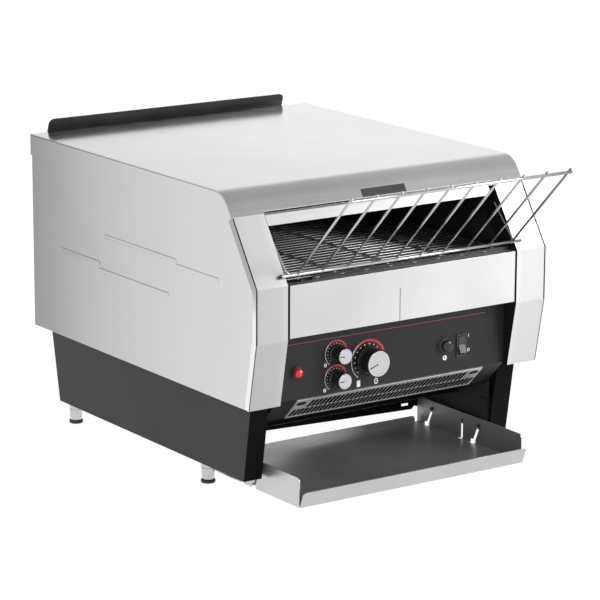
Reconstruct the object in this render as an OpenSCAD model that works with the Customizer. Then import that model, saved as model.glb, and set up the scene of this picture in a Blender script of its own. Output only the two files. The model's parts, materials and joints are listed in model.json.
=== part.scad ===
// Countertop conveyor toaster: bread slides down a wire rack onto a moving
// wire belt, passes between electric heaters and returns on a slide to a
// tray below the control panel. Millimetres, +Z up, front face towards -Y.

/* [Casing] */
// Overall width across the bezels
body_w = 470; // [440:1:600]
// Depth from the front face to the back edge of the top cover
body_d = 571; // [540:1:700]
// Height of the top cover above the table
body_top = 412; // [405:1:500]
// Height of the casing's lower edge above the table
body_bottom = 136; // [130:1:142]
// Thickness of the casing sheet
sheet = 1.2; // [0.8:0.1:1.6]
// Gap left between sheets that lap
lap_gap = 0.3; // [0.1:0.05:0.5]
// Depth of the turned-in flanges of the side panels
flange_w = 14; // [8:1:20]
// Depth of the top cover's turned-down back edge
skirt_h = 14; // [8:1:20]
// Outer radius of the top cover's front bend
cover_bend_r = 37; // [15:1:40]

/* [Front profile] */
// How far the top edge of the sloping face lies behind the front face
slope_depth = 55; // [40:1:65]
// Height of that top edge
slope_top = 382; // [370:1:390]
// Height of the upper fold of the bezels
upper_fold = 298; // [290:1:306]
// Height of the lower fold of the bezels
lower_fold = 226; // [215:1:240]
// How far the chin's lower edge lies behind the front face
chin_depth = 17; // [8:1:24]
// Width of each bezel
bezel_w = 49.2; // [42:0.2:60]
// Width of the pressed ribs on the sides
bead_h = 6; // [4:0.5:8]
// Depth of the bezel's return into the feed opening
return_depth = 40; // [30:1:50]
// Depth of the bezel's tabs over the side panels
tab_depth = 9; // [5:1:14]

/* [Feed opening] */
// Height of the lintel's lower edge
lintel_low = 367.7; // [360:0.1:372]
// Slit between the lintel and the top cover
lintel_slit = 2; // [1:0.5:4]
// Distance from the lintel's right end to the bezel
lintel_short = 9.8; // [4:0.2:16]
// Corner radius of the lintel
lintel_corner = 9; // [4:1:12]
// Depth of the lintel's return under the cover
lintel_return = 22; // [12:1:24]
// Width of the blank plate on the cover's slope
plate_w = 70.6; // [40:0.2:120]
// Height of that plate
plate_h = 11.4; // [6:0.2:12]
// Sideways place of that plate's centre
plate_x = 7; // [-60:1:60]
// Gap between the front panel and the bezels
panel_side_gap = 3.3; // [1:0.1:5]
// Width of the slit in the front panel
slit_w = 0.8; // [0.5:0.1:2]
// Height of the slit's upper end
slit_top = 272; // [240:1:285]
// Sideways place of the slit
slit_x = -8.6; // [-40:0.2:40]
// Depth of the slotted guard strip behind the front face
guard_y = 15; // [14:0.1:15.5]
// How far the guard strip stands above the upper fold
guard_rise = 4.4; // [2:0.2:8]
// Sideways place of the guard strip's left end
guard_left = -138; // [-170:1:-60]

/* [Control panel] */
// Depth of the control panel behind the front face
panel_y = 25; // [22:0.5:26]
// Height of the control panel's lower bend
panel_bend_z = 138.7; // [136:0.1:142]
// Slope length of the part below the bend
chin_len = 47.4; // [46:0.1:52]
// Depth of the box behind the panel
box_depth = 75; // [60:1:85]
// How far the lip under the control box hangs down
lip_h = 2; // [1:0.2:20]
// Radius of the large speed knob at its face
speed_knob_r = 18.4; // [14:0.2:20]
// Radius of the two heat knobs at their faces
heat_knob_r = 11.4; // [9:0.2:13]
// Length of the speed knob in front of the panel
speed_knob_len = 24.6; // [16:0.2:25]
// Length of the heat knobs in front of the panel
heat_knob_len = 22; // [14:0.2:25]
// Place of the speed knob: sideways, height
speed_at = [-41, 174.5];
// Place of the upper heater's knob
top_heat_at = [-92.6, 191.1];
// Place of the lower heater's knob
bottom_heat_at = [-93, 157.7];
// Place of the indicator lamp
lamp_at = [-155, 174.5];
// Place of the reset button
reset_at = [84.5, 176.6];
// Place of the power switch
switch_at = [112.6, 173];
// Radius of the knob spindles
spindle_r = 3; // [2:0.5:4]
// Running clearance of spindles, shafts and pins
run_gap = 0.06; // [0.03:0.01:0.1]
// Travel of the reset button
reset_travel = 3; // [1:0.5:4]
// Tilt of the rocker from its middle position
rocker_tilt = 10; // [6:1:12]

/* [Vent grille] */
// Width of the vent grille
vent_w = 304; // [200:1:330]
// Slope length of the vent grille
vent_h = 42.9; // [40:0.1:44]
// Distance between slots
vent_pitch = 6.93; // [5.5:0.01:9]
// Width of a slot
vent_slot_w = 4.4; // [2:0.1:5]
// Slant of the slots in degrees
vent_slant = 12.6; // [0:0.1:18]

/* [Conveyor] */
// Pitch of the belt wires
belt_pitch = 12.7; // [10:0.1:14]
// Teeth on a belt sprocket
belt_teeth = 12; // [12:2:12]
// Radius of a belt wire
belt_wire_r = 1.2; // [0.8:0.1:1.6]
// Width of a belt link
link_w = 2.4; // [1.6:0.2:4]
// Thickness of a belt link
link_t = 1.6; // [1:0.1:2]
// How far the belt lies below the upper fold
belt_drop = 1; // [0:0.5:4]
// Depth of the front shaft behind the front face
front_shaft_y = 42; // [42:1:46]
// Radius of both conveyor shafts
shaft_r = 6; // [4:0.5:8]
// Distance from the belt edge to the chamber wall
belt_side_gap = 12; // [8:1:20]
// Radius of a heater tube
heater_r = 4.75; // [3:0.25:6]
// Height of the upper heaters above the belt
upper_heater_rise = 62; // [50:1:63]
// Number of upper heaters
upper_heaters_n = 6; // [3:1:8]
// Number of lower heaters
lower_heaters_n = 4; // [2:1:5]

/* [Slide and tray] */
// Depth of the slide's front edge behind the front face
slide_y = 130; // [125:1:140]
// Height of the slide's front edge
slide_z = 78; // [76:1:79]
// Height of the centre of the guide's curve
guide_c_z = 257.5; // [254:0.5:259]
// Radius of the guide behind the belt
guide_r = 28; // [20:1:34]
// Gap between the tray's walls and the chassis walls
tray_side_gap = 7.2; // [6:0.2:16]
// Height of the tray's underside above the table
tray_z = 10.5; // [6:0.5:14]
// Height of the tray's side walls above its underside
tray_wall_h = 38; // [32:0.5:40]
// Height of the tray's back edge above its underside
tray_back_h = 10; // [6:0.5:14]
// Front reach of the tray floor ahead of the front face
tray_front = 24.5; // [10:0.5:30]
// Depth of the tray's back edge behind the front face
tray_back = 212; // [200:1:214]
// How far the tray's walls and lip reach below its floor
tray_hem = 1.6; // [0:0.2:3]
// Height and lean of the tray's front lip
tray_lip_h = 22; // [14:0.5:26]
// Lean of the front lip from the vertical
tray_lip_lean = 22.5; // [0:0.5:35]
// Width of the hanging slots in the tray walls
tray_slot_w = 4.4; // [4.2:0.1:6]
// Slant of the hanging slots from the vertical
tray_slot_slant = 24.5; // [0:0.5:30]
// Radius of the hanger pins
hanger_pin_r = 2.1; // [1.5:0.1:2.1]
// Travel of the tray along its slots
tray_travel = 26; // [10:1:26]

/* [Feed rack] */
// Radius of the two cross rods
rack_rod_r = 2.2; // [1.6:0.1:3]
// Radius of the bars and arms
rack_bar_r = 1.6; // [1:0.1:2]
// Distance between bars
rack_pitch = 38.7; // [28:0.1:40]
// Sideways shift of the row of bars
rack_shift = 5.6; // [-6:0.1:6]
// Length of the bars between the rods
rack_len = 165; // [120:1:170]
// Lean of the bars ahead of the vertical
rack_lean = 45; // [40:1:50]
// Length of the bar ends past the upper rod
rack_nub = 3; // [1:0.5:8]
// Distance of the lower rod above the upper fold, along the slope
rack_seat = 12.6; // [8:0.2:16]
// Reach of the lower rod past each side of the opening
rack_over = 10.2; // [4:0.2:14]
// Depth of the rack pivot behind the front face
pivot_y = 48.5; // [46:0.5:54]
// Height of the rack pivot
pivot_z = 356.5; // [350:0.5:358]

/* [Base and feet] */
// How far the base sides stand in from the casing's sides
base_inset = 18.3; // [10:0.1:24]
// Width of a base side
base_side_w = 28.2; // [24:0.2:34]
// Height of the base's lower edge above the table
base_bottom = 29.4; // [25:0.2:34]
// Thickness of the base sheet
base_sheet = 1.5; // [1:0.1:2]
// Depth of the base's front edge, at its top and at its bottom
base_front = [38.7, 55.6];
// Distance of the base's back edge ahead of the casing's back, top and bottom
base_back = [19, 40];
// Height of the slide guards' lower edge
guard_low = 47; // [40:0.5:55]
// Depth of the rear baffle behind the front face
baffle_y = 213.8; // [213:0.2:222]
// Heights of the rear baffle's lower edge at its left and right ends
baffle_z = [41.9, 29.1];
// Radius of a foot at its upper end
foot_r = 9.6; // [7:0.1:12]
// Radius of a foot at its lower end
foot_tip_r = 8.3; // [6:0.1:10]
// Radius of the rubber pad
pad_r = 9.8; // [8:0.1:12]
// Height of the rubber pad
pad_h = 5; // [3:0.5:7]
// Distance of the front feet behind the front face
front_foot_y = 162.7; // [120:0.1:180]
// Distance of the back feet ahead of the casing's back edge
back_foot_in = 60.8; // [55:0.1:80]

/* [Back] */
// Reach of the rear flange behind the top cover
rear_reach = 19; // [14:0.5:30]
// Half length of the rear flange
rear_half_w = 200; // [120:1:215]
// Height of the rear flange's upright leaf
rear_leaf_h = 38; // [20:0.5:45]
// Forward lean of that leaf
rear_lean = 19; // [0:0.5:30]
// Radius of the cord entry in the gland
cord_r = 5.5; // [4:0.1:7]
// Place of the cord gland: sideways, height
gland_at = [165, 172];
// Place of the cooling fan: sideways, height
fan_at = [-145, 180];
// Side of the square fan frame
fan_w = 70; // [50:1:70]

/* [Hidden] */
$fn = 64;
cut = 1;

// Colours
stainless = [0.80, 0.80, 0.80];
bright_steel = [0.90, 0.90, 0.90];
black_paint = [0.13, 0.13, 0.14];
charcoal = [0.23, 0.23, 0.24];
zinc = [0.62, 0.63, 0.64];
black_plastic = [0.06, 0.06, 0.06];
lamp_red = [0.75, 0.08, 0.09];
ceramic_white = [0.88, 0.86, 0.80];

// Casing, sideways
half_w = body_w / 2;
side_x = half_w - sheet - lap_gap;
side_in = side_x - sheet;
opening_x = half_w - bezel_w;
return_out = opening_x + sheet;
wall_in = return_out + 3;
wall_out = wall_in + sheet;

// Casing, front to back
back_y = body_d - sheet - lap_gap;
back_in = back_y - sheet;
floor_z = body_bottom + sheet;
floor_top = floor_z + sheet;
roof_z = body_top - sheet - lap_gap;

// Sloping face of the bezels
slope_a = atan2(slope_top - upper_fold, slope_depth);
slope_len = norm([slope_depth, slope_top - upper_fold]);
slope_out = [-sin(slope_a), cos(slope_a)];
slope_dir = [cos(slope_a), sin(slope_a)];

// Centre of the cover's bend, tangent to the slope and to the roof
bend_z = body_top - cover_bend_r;
bend_offset = slope_out * [slope_depth, slope_top] - cover_bend_r;
bend_y = (bend_z * cos(slope_a) - bend_offset) / sin(slope_a);

// Outlines in the plane of depth and height
bezel_path = [[chin_depth, body_bottom], [0, lower_fold], [0, upper_fold],
    [slope_depth, slope_top]];
bend_path = arc([bend_y, bend_z], cover_bend_r, 90 + slope_a, 90, 14);
roof_path = concat([[slope_depth, slope_top]], bend_path, [[body_d, body_top]]);
casing_path = concat(bezel_path, bend_path, [[body_d, body_top]]);

// Control panel and the box behind it
panel_half_w = opening_x - 0.5;
panel_top = lower_fold + 5;
vent_low = [panel_y, panel_bend_z] + chin_len * [sin(45), -cos(45)];
panel_path = [[panel_y, panel_top], [panel_y, panel_bend_z], vent_low];
box_half_w = panel_half_w - 1.7;
box_floor_z = vent_low[1] - 0.4;
box_front = vent_low[0] + 0.4;
box_back = panel_y + box_depth;
box_top = lower_fold;
knob_gap = 2.2;
cap_recess = 1.4;
vent_v0 = (chin_len - vent_h) * 0.9;
vent_rows = [[vent_v0 + 5.3, vent_v0 + 20.8], [vent_v0 + 24.1, vent_v0 + 38.6]];
vent_screw_x = vent_w / 2 - 10.5;
vent_screw_v = vent_v0 + 8.8;

// Conveyor
belt_r = belt_pitch / (2 * sin(180 / belt_teeth));
belt_z = upper_fold - belt_drop;
shaft_z = belt_z - belt_r;
run_links = floor((body_d - front_shaft_y - 68) / belt_pitch);
run_len = run_links * belt_pitch;
rear_shaft_y = front_shaft_y + run_len;
belt_half_w = wall_in - belt_side_gap;
belt_under = belt_z - belt_wire_r;
sprocket_x = [for (s = [-1.5:1:1.5]) s * belt_half_w * 0.52];
link_x = [for (s = [-2:1:2]) s * (belt_half_w - 6) / 2];
bearing_r = shaft_r + 5;
chain_x = wall_out + 14;
chain_w = 4;
shaft_sprocket_r = 16.3;
motor_sprocket_r = 12.3;
shaft_sprocket_teeth = 16;
motor_sprocket_teeth = 12;
chain_t = 2.6;
motor_y = rear_shaft_y - 18;
motor_z = floor_top + 28.6;
motor_can_r = 26;
motor_shaft_r = 5;

// Heaters
upper_heater_z = belt_z + upper_heater_rise;
lower_heater_z = belt_z - 19;
reflector_z = upper_heater_z + heater_r + 7.5;
upper_heater_y = [for (i = [0:upper_heaters_n - 1])
    front_shaft_y + 68 + i * (run_len - 96) / (upper_heaters_n - 1)];
lower_heater_y = [for (i = [0:lower_heaters_n - 1])
    front_shaft_y + 86 + i * (run_len - 186) / (lower_heaters_n - 1)];
heater_gap = 0.3;
terminal_len = 9;

// Slide and rear guide
guide_y = back_in - 12.3;
guide_c_y = guide_y - guide_r;
slide_run = [guide_c_y - slide_y, guide_c_z - slide_z];
slide_angle = atan2(slide_run[1], slide_run[0]) - asin(guide_r / norm(slide_run));
slide_end_y = guide_c_y + guide_r * sin(slide_angle);
slide_end_z = guide_c_z - guide_r * cos(slide_angle);
slide_half_w = wall_in - lap_gap;
guide_top = belt_z + 38;

// Screws: sideways, height
screw_r = 3.4;
vent_screw_r = 2.4;
screw_fit = 0.05;
rear_sheet = 1.5;
edge_screws = [for (s = [-1, 1], z = [floor_top + 14, (floor_top + roof_z) / 2, roof_z - 30])
    [s * (side_in - 7), z]];
flange_screws = [for (x = [-170, -60, 60, 170]) [x, body_top - skirt_h - 15]];

// Floor opening for the slide
floor_cut_y = slide_y + (floor_top - slide_z) / tan(slide_angle) + 12;

// Tray
tray_half_w = wall_in - tray_side_gap;
tray_slot_top = tray_z + 30;
tray_pin_z = tray_slot_top - tray_slot_w / 2;
tray_slot_y = [176.4, 70.2];
tray_plain_slot_y = 108.5;
slot_dir = [sin(tray_slot_slant), -cos(tray_slot_slant)];

// Feed rack
rack_half_w = opening_x + rack_over;
rack_bars = floor((2 * opening_x - 20) / rack_pitch) + 1;
rack_rod = [0, upper_fold] + rack_seat * slope_dir + (rack_rod_r + lap_gap) * slope_out;
bar_dir = [-sin(rack_lean), cos(rack_lean)];
rack_top_rod = rack_rod + rack_len * bar_dir + 0.8 * (rack_rod_r + rack_bar_r)
    * [-bar_dir[1], bar_dir[0]];
rack_front = min(rack_rod[0] + (rack_len + rack_nub) * bar_dir[0] - rack_bar_r * bar_dir[1],
    rack_top_rod[0] - rack_rod_r);
arm_vec = [pivot_y, pivot_z] - rack_rod;
arm_len = norm(arm_vec);
arm_a = atan2(arm_vec[1], arm_vec[0]);
arm_x = opening_x - 2.8;
arm_bend_r = 9;
pivot_pin_r = rack_bar_r + 0.15;

// Base
base_x = half_w - base_inset;
base_in = base_x - base_side_w;
foot_x = base_x - base_side_w / 2;
foot_y = [front_foot_y, body_d - back_foot_in];

// Where the origin lies: middle of the overall depth, on the table
centre_y = (body_d + rear_reach + rack_front) / 2;

function seg_dir(a, b) = (b - a) / norm(b - a);
function left_of(d) = [-d[1], d[0]];
function dir_before(p, i) = seg_dir(p[max(i, 1) - 1], p[max(i, 1)]);
function dir_after(p, i) = seg_dir(p[min(i, len(p) - 2)], p[min(i, len(p) - 2) + 1]);
function mitre(a, b, t) = (a + b) * (2 * t / ((a + b) * (a + b)));
function shifted(p, t) = [for (i = [0:len(p) - 1])
    p[i] + mitre(left_of(dir_before(p, i)), left_of(dir_after(p, i)), t)];
function backwards(p) = [for (i = [len(p) - 1:-1:0]) p[i]];
function without_last(p) = [for (i = [0:len(p) - 2]) p[i]];
function sheet_outline(p, t) = concat(p, backwards(shifted(p, t)));
function arc(c, r, a0, a1, n) = [for (i = [0:n])
    c + r * [cos(a0 + (a1 - a0) * i / n), sin(a0 + (a1 - a0) * i / n)]];
function rounded_tab(x0, x1, h, r) = concat([[x0, 0], [x1, 0]],
    arc([x1 - r, h - r], r, 0, 90, 8), arc([x0 + r, h - r], r, 90, 180, 8));
function toothed(n, root, tip) = [for (i = [0:n - 1], k = [0:3])
    let (a = (i + [0.14, 0.36, 0.64, 0.86][k]) * 360 / n, r = k == 0 || k == 3 ? root : tip)
    r * [cos(a), sin(a)]];
function loop_path(c1, r1, c2, r2) =
    let (d = c2 - c1, b = atan2(d[1], d[0]), g = acos((r1 - r2) / norm(d)))
    concat(arc(c1, r1, b + g, b + 360 - g, 24), arc(c2, r2, b - g, b + g, 24));

// Stands everything in the part's own frame
module placed() {
    translate([0, -centre_y, 0]) children();
}

// A shape and its mirror image on the other side
module both_sides() {
    children();
    mirror([1, 0, 0]) children();
}

// Extrudes an outline of depth and height from one sideways place to another
module across(x0, x1) {
    translate([x0, 0, 0]) rotate([90, 0, 90]) linear_extrude(x1 - x0) children();
}

module sheet_across(p, t, x0, x1) {
    across(x0, x1) polygon(sheet_outline(p, t));
}

module block(x, y, z) {
    translate([x[0], y[0], z[0]]) cube([x[1] - x[0], y[1] - y[0], z[1] - z[0]]);
}

// Cylinder along X
module rod_x(x0, x1, p, r) {
    translate([x0, p[0], p[1]]) rotate([0, 90, 0]) cylinder(r = r, h = x1 - x0);
}

// Cylinder along Y, seen at a place of the front: p is sideways, height
module rod_y(y0, y1, p, r) {
    translate([p[0], y0, p[1]]) rotate([-90, 0, 0]) cylinder(r = r, h = y1 - y0);
}

// Turned shape about an axis that points to the front from a panel place
module turned(y, p) {
    translate([p[0], y, p[1]]) rotate([90, 0, 0]) rotate_extrude() children();
}

// Local frame on the sloping face: x sideways, y up the slope, z outwards
module on_slope() {
    translate([0, 0, upper_fold]) rotate([slope_a, 0, 0]) children();
}

// Local frame on the panel's lower part: x sideways, y down the slope, z inwards
module on_chin() {
    translate([0, panel_y, panel_bend_z]) rotate([-45, 0, 0]) children();
}

// ---- Casing ----

module top_cover() {
    color(stainless) placed() {
        sheet_across(concat(roof_path, [[body_d, body_top - skirt_h]]), -sheet, -half_w, half_w);
        both_sides() across(half_w - sheet, half_w)
            polygon(concat(roof_path, [[body_d, slope_top]]));
    }
}

// Clearance holes for screws that point to the front
module screw_holes(places, y0, y1) {
    for (p = places) {
        rod_y(y0, y1, p, screw_r / 2 + screw_fit);
    }
}

// Raised bead on a side panel, with sloping flanks
module bead(y0, y1, z, h) {
    translate([side_x, 0, z]) rotate([-90, 0, 0]) translate([0, 0, y0]) linear_extrude(y1 - y0)
        polygon([[-0.5, -h / 2], [0, -h / 2], [0.9, -h / 2 + 1.2], [0.9, h / 2 - 1.2],
            [0, h / 2], [-0.5, h / 2]]);
}

// Short upright bead that joins two long ones
module bead_step(y, z0, z1, w) {
    translate([side_x, y, z0]) linear_extrude(z1 - z0)
        polygon([[-0.5, -w / 2], [0, -w / 2], [0.9, -w / 2 + 1.2], [0.9, w / 2 - 1.2],
            [0, w / 2], [-0.5, w / 2]]);
}

module side_panel() {
    inner = shifted(casing_path, -sheet - lap_gap);
    bead_z = (lower_fold + upper_fold) / 2 + 2;
    across(side_in, side_x)
        polygon(concat(without_last(inner), [[back_y, roof_z], [back_y, body_bottom]]));
    block([side_x - flange_w, side_x], [chin_depth + 8, back_y], [body_bottom, floor_z]);
    difference() {
        block([side_x - flange_w, side_x], [back_in - sheet, back_in],
            [floor_top + 1, roof_z - 1]);
        screw_holes(edge_screws, back_in - sheet - cut, back_in + cut);
    }
    bead(190, body_d - 198, bead_z + 37, bead_h);
    bead(88, 196, bead_z + 30.5, bead_h);
    bead_step(193, bead_z + 30.5, bead_z + 37, bead_h);
    bead(210, body_d - 179, bead_z - 12.5, bead_h);
    bead(body_d - 185, body_d - 82, bead_z - 3, bead_h);
    bead_step(body_d - 182, bead_z - 12.5, bead_z - 3, bead_h);
}

module right_side_panel() {
    color(stainless) placed() side_panel();
}

module left_side_panel() {
    color(stainless) placed() mirror([1, 0, 0]) side_panel();
}

module back_panel() {
    w = side_in - lap_gap;
    color(stainless) placed() difference() {
        block([-w, w], [back_in, back_y], [floor_top + 0.3, roof_z]);
        for (i = [-6:6], z = [roof_z - 108, roof_z - 62])
            block([i * 24 - 8, i * 24 + 8], [back_in - cut, back_y + cut], [z, z + 4]);
        for (i = [-6:6], z = [roof_z - 98, roof_z - 52])
            block([i * 24 - 8, i * 24 + 8], [back_in - cut, back_y + cut], [z, z + 4]);
        for (k = [-3:3]) {
            half = sqrt(pow(fan_w * 0.44, 2) - pow(k * fan_w / 8.6, 2));
            block([fan_at[0] - half, fan_at[0] + half], [back_in - cut, back_y + cut],
                [fan_at[1] + k * fan_w / 8.6 - 2, fan_at[1] + k * fan_w / 8.6 + 2]);
        }
        rod_y(back_in - cut, back_y + cut, gland_at, cord_r + 3.6);
        screw_holes(concat(edge_screws, flange_screws), back_in - cut, back_y + cut);
    }
}

module rear_flange() {
    t = rear_sheet;
    shelf_z = body_top - skirt_h - 4;
    shelf = [[back_y, shelf_z - 22], [back_y, shelf_z], [body_d + rear_reach, shelf_z]];
    color(black_paint) placed() difference() {
        union() {
            sheet_across(shelf, -t, -rear_half_w, rear_half_w);
            translate([0, body_d + rear_reach, shelf_z - t]) rotate([90 + rear_lean, 0, 0])
                linear_extrude(t)
                    polygon(rounded_tab(-rear_half_w, rear_half_w, rear_leaf_h, 8));
        }
        screw_holes(flange_screws, back_y - cut, back_y + t + cut);
    }
}

module bezel() {
    top = [slope_depth, slope_top];
    back_edge = concat([for (p = without_last(bezel_path)) p + [return_depth, 0]],
        [top + [return_depth, -2], top - 1.5 * sheet * slope_out]);
    difference() {
        union() {
            sheet_across(bezel_path, -sheet, opening_x, half_w);
            across(opening_x, return_out) polygon(concat(bezel_path, backwards(back_edge)));
        }
        rod_x(opening_x - cut, return_out + cut, [front_shaft_y, shaft_z], shaft_r + 2);
        rod_x(opening_x - cut, return_out + cut, [pivot_y, pivot_z], pivot_pin_r + run_gap);
        for (z = [-9, 0]) {
            rod_x(opening_x - cut, return_out + cut, [pivot_y + 10, pivot_z + z], 1.4);
        }
    }
    across(half_w - sheet, half_w)
        polygon(sheet_outline([[0, upper_fold], [slope_depth, slope_top]], -tab_depth));
    across(half_w - sheet, half_w)
        polygon(sheet_outline([[chin_depth, body_bottom], [0, lower_fold]], -tab_depth));
}

module right_bezel() {
    color(bright_steel) placed() bezel();
}

module left_bezel() {
    color(bright_steel) placed() mirror([1, 0, 0]) bezel();
}

module feed_lintel() {
    x0 = -opening_x + lap_gap;
    x1 = opening_x - lintel_short;
    v0 = (lintel_low - upper_fold) / sin(slope_a);
    v1 = slope_len - lintel_slit;
    color(bright_steel) placed() on_slope() {
        translate([0, 0, -sheet]) linear_extrude(sheet)
            polygon(concat([[x1, v1], [x0, v1], [x0, v0]],
                arc([x1 - lintel_corner, v0 + lintel_corner], lintel_corner, -90, 0, 8)));
        block([x0, opening_x - lap_gap], [v1 - sheet, v1], [-lintel_return, -sheet]);
    }
}

module cover_plate() {
    v0 = slope_len + 4.2;
    color(black_plastic) placed() on_slope()
        block([plate_x - plate_w / 2, plate_x + plate_w / 2], [v0, v0 + plate_h], [0, 0.5]);
}

module front_panel() {
    w = opening_x - panel_side_gap;
    z0 = lower_fold + 2.2;
    z1 = upper_fold - 0.3;
    color(bright_steel) placed() difference() {
        union() {
            block([-w, w], [0, guard_y - 0.2], [z0, z1]);
            block([-w, w], [guard_y - cut, panel_y - lap_gap], [z0, z0 + sheet]);
        }
        block([-w + sheet, w - sheet], [sheet, panel_y + cut], [z0 + sheet, z1 - sheet]);
        block([slit_x - slit_w / 2, slit_x + slit_w / 2], [-cut, sheet + cut],
            [z0 - cut, slit_top]);
    }
}

module guard_strip() {
    w = opening_x - lap_gap;
    w_top = opening_x - panel_side_gap;
    low_z = upper_fold - 14;
    top_z = upper_fold + guard_rise;
    color(charcoal) placed() difference() {
        union() {
            block([-w, w], [guard_y, guard_y + sheet], [low_z, upper_fold - 6]);
            block([guard_left, w_top], [guard_y, guard_y + sheet], [low_z, top_z]);
        }
        for (i = [1:rack_bars - 2]) {
            x = rack_shift + (i - (rack_bars - 1) / 2) * rack_pitch;
            block([x - 3, x + 3], [guard_y - cut, guard_y + sheet + cut],
                [upper_fold + 0.4, upper_fold + 2.6]);
        }
    }
}

// ---- Control panel ----

module control_panel() {
    color(charcoal) placed() difference() {
        sheet_across(panel_path, sheet, -panel_half_w, panel_half_w);
        for (p = [speed_at, top_heat_at, bottom_heat_at]) {
            rod_y(panel_y - cut, panel_y + sheet + cut, p, spindle_r + 2.2);
        }
        rod_y(panel_y - cut, panel_y + sheet + cut, lamp_at, 6.2);
        rod_y(panel_y - cut, panel_y + sheet + cut, reset_at, 6.5);
        block([switch_at[0] - 6.8, switch_at[0] + 6.8], [panel_y - cut, panel_y + sheet + cut],
            [switch_at[1] - 14, switch_at[1] + 14]);
        on_chin() {
            block([-vent_w / 2 + 20, vent_w / 2 - 20], vent_rows[0] + [-1, 1], [-cut, sheet + cut]);
            block([-vent_w / 2 + 4, vent_w / 2 - 4], vent_rows[1] + [-1, 1], [-cut, sheet + cut]);
            for (s = [-1, 1]) {
                translate([s * vent_screw_x, vent_screw_v, -cut])
                    cylinder(r = vent_screw_r / 2 + screw_fit, h = sheet + 2 * cut);
            }
        }
    }
}

// One slanted slot of the vent, spanning from v0 to v1 down the slope
module vent_slot(x, v0, v1) {
    mid = (v0 + v1) / 2;
    translate([x, mid, -sheet]) rotate([0, 0, vent_slant])
        cube([vent_slot_w, (v1 - v0) / cos(vent_slant), 4 * sheet], center = true);
}

// Obround hole for a vent screw
module screw_slot() {
    translate([0, 0, -2 * sheet]) linear_extrude(3 * sheet) union() {
        square([4.6, 5.4], center = true);
        translate([-2.3, 0]) circle(d = 5.4);
        translate([2.3, 0]) circle(d = 5.4);
    }
}

module vent_grille() {
    n_up = floor((vent_w - 42) / 2 / vent_pitch);
    n_low = floor((vent_w - 12) / 2 / vent_pitch);
    color(stainless) placed() on_chin() difference() {
        block([-vent_w / 2, vent_w / 2], [vent_v0, vent_v0 + vent_h], [-sheet, 0]);
        for (i = [-n_up:n_up]) {
            vent_slot(i * vent_pitch, vent_rows[0][0], vent_rows[0][1]);
        }
        for (i = [-n_low:n_low]) {
            vent_slot(i * vent_pitch, vent_rows[1][0], vent_rows[1][1]);
        }
        for (s = [-1, 1]) {
            translate([s * vent_screw_x, vent_screw_v, 0]) rotate([0, 0, 35]) screw_slot();
        }
    }
}

// Pan-head screw along its local Z, head underside at zero
module pan_screw(r, length) {
    rotate_extrude() polygon([[0, 1.9], [r * 0.6, 1.8], [r * 0.92, 1.2], [r, 0.5], [r, 0], [0, 0]]);
    translate([0, 0, -length]) cylinder(r = r * 0.5, h = length);
}

module casing_screws() {
    color(zinc) placed() {
        on_chin() for (s = [-1, 1]) {
            translate([s * vent_screw_x, vent_screw_v, 0]) rotate([180, 0, 0])
                pan_screw(vent_screw_r, 4);
        }
        for (p = edge_screws) {
            translate([p[0], back_y, p[1]]) rotate([-90, 0, 0]) pan_screw(screw_r, 6);
        }
        for (p = flange_screws) {
            translate([p[0], back_y + rear_sheet, p[1]]) rotate([-90, 0, 0])
                pan_screw(screw_r, 6);
        }
    }
}

module control_box() {
    rear = [[box_front, box_floor_z - lip_h], [box_front, box_floor_z], [box_back, box_floor_z],
        [box_back, box_top]];
    inner = shifted(panel_path, sheet + lap_gap);
    color(black_paint) placed() {
        sheet_across(rear, -sheet, -box_half_w, box_half_w);
        both_sides() across(box_half_w - sheet, box_half_w)
            polygon([[inner[1][0], box_top], inner[1], [box_front + 1.4, box_floor_z + 0.6],
                [box_front + 1.4, box_floor_z - 0.6], [box_back, box_floor_z - 0.6],
                [box_back, box_top]]);
    }
}

// A knob: skirt at the panel, tapering grip, recess for its cap, own spindle
module knob(p, r, length) {
    skirt = r + 1.8;
    face = length - knob_gap;
    turned(panel_y - knob_gap, p) polygon([[0, 0], [skirt, 0], [skirt, 2.4], [r + 0.7, 3.4],
        [r, face - 1], [r - 0.5, face], [r - 0.9, face], [r - 0.9, face - cap_recess],
        [0, face - cap_recess]]);
    rod_y(panel_y - knob_gap - cut, panel_y + 16, p, spindle_r);
}

module knob_cap(p, r, length) {
    turned(panel_y - length + cap_recess, p) polygon([[0, 0], [r - 1.1, 0], [r - 1.1, 1.1],
        [r - 1.5, cap_recess], [r - 2.4, cap_recess], [r - 2.7, 1.1], [0, 1.1]]);
}

module speed_knob() {
    color(black_plastic) placed() knob(speed_at, speed_knob_r, speed_knob_len);
}

module speed_knob_cap() {
    color(bright_steel) placed() knob_cap(speed_at, speed_knob_r, speed_knob_len);
}

module top_heat_knob() {
    color(black_plastic) placed() knob(top_heat_at, heat_knob_r, heat_knob_len);
}

module top_heat_knob_cap() {
    color(bright_steel) placed() knob_cap(top_heat_at, heat_knob_r, heat_knob_len);
}

module bottom_heat_knob() {
    color(black_plastic) placed() knob(bottom_heat_at, heat_knob_r, heat_knob_len);
}

module bottom_heat_knob_cap() {
    color(bright_steel) placed() knob_cap(bottom_heat_at, heat_knob_r, heat_knob_len);
}

// Switch body behind the panel with a collar that the spindle turns in
module control_body(p, half, depth) {
    y0 = panel_y + sheet;
    difference() {
        union() {
            block([p[0] - half, p[0] + half], [y0, y0 + depth], [p[1] - half, p[1] + half]);
            rod_y(panel_y - 1.6, y0 + cut, p, spindle_r + 2);
        }
        rod_y(panel_y - 2, panel_y + 18, p, spindle_r + run_gap);
    }
    for (s = [-1, 1]) {
        block([p[0] + s * half * 0.5 - 2.4, p[0] + s * half * 0.5 + 2.4],
            [y0 + depth - 0.2, y0 + depth + 7], [p[1] - 0.4, p[1] + 0.4]);
    }
}

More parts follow.
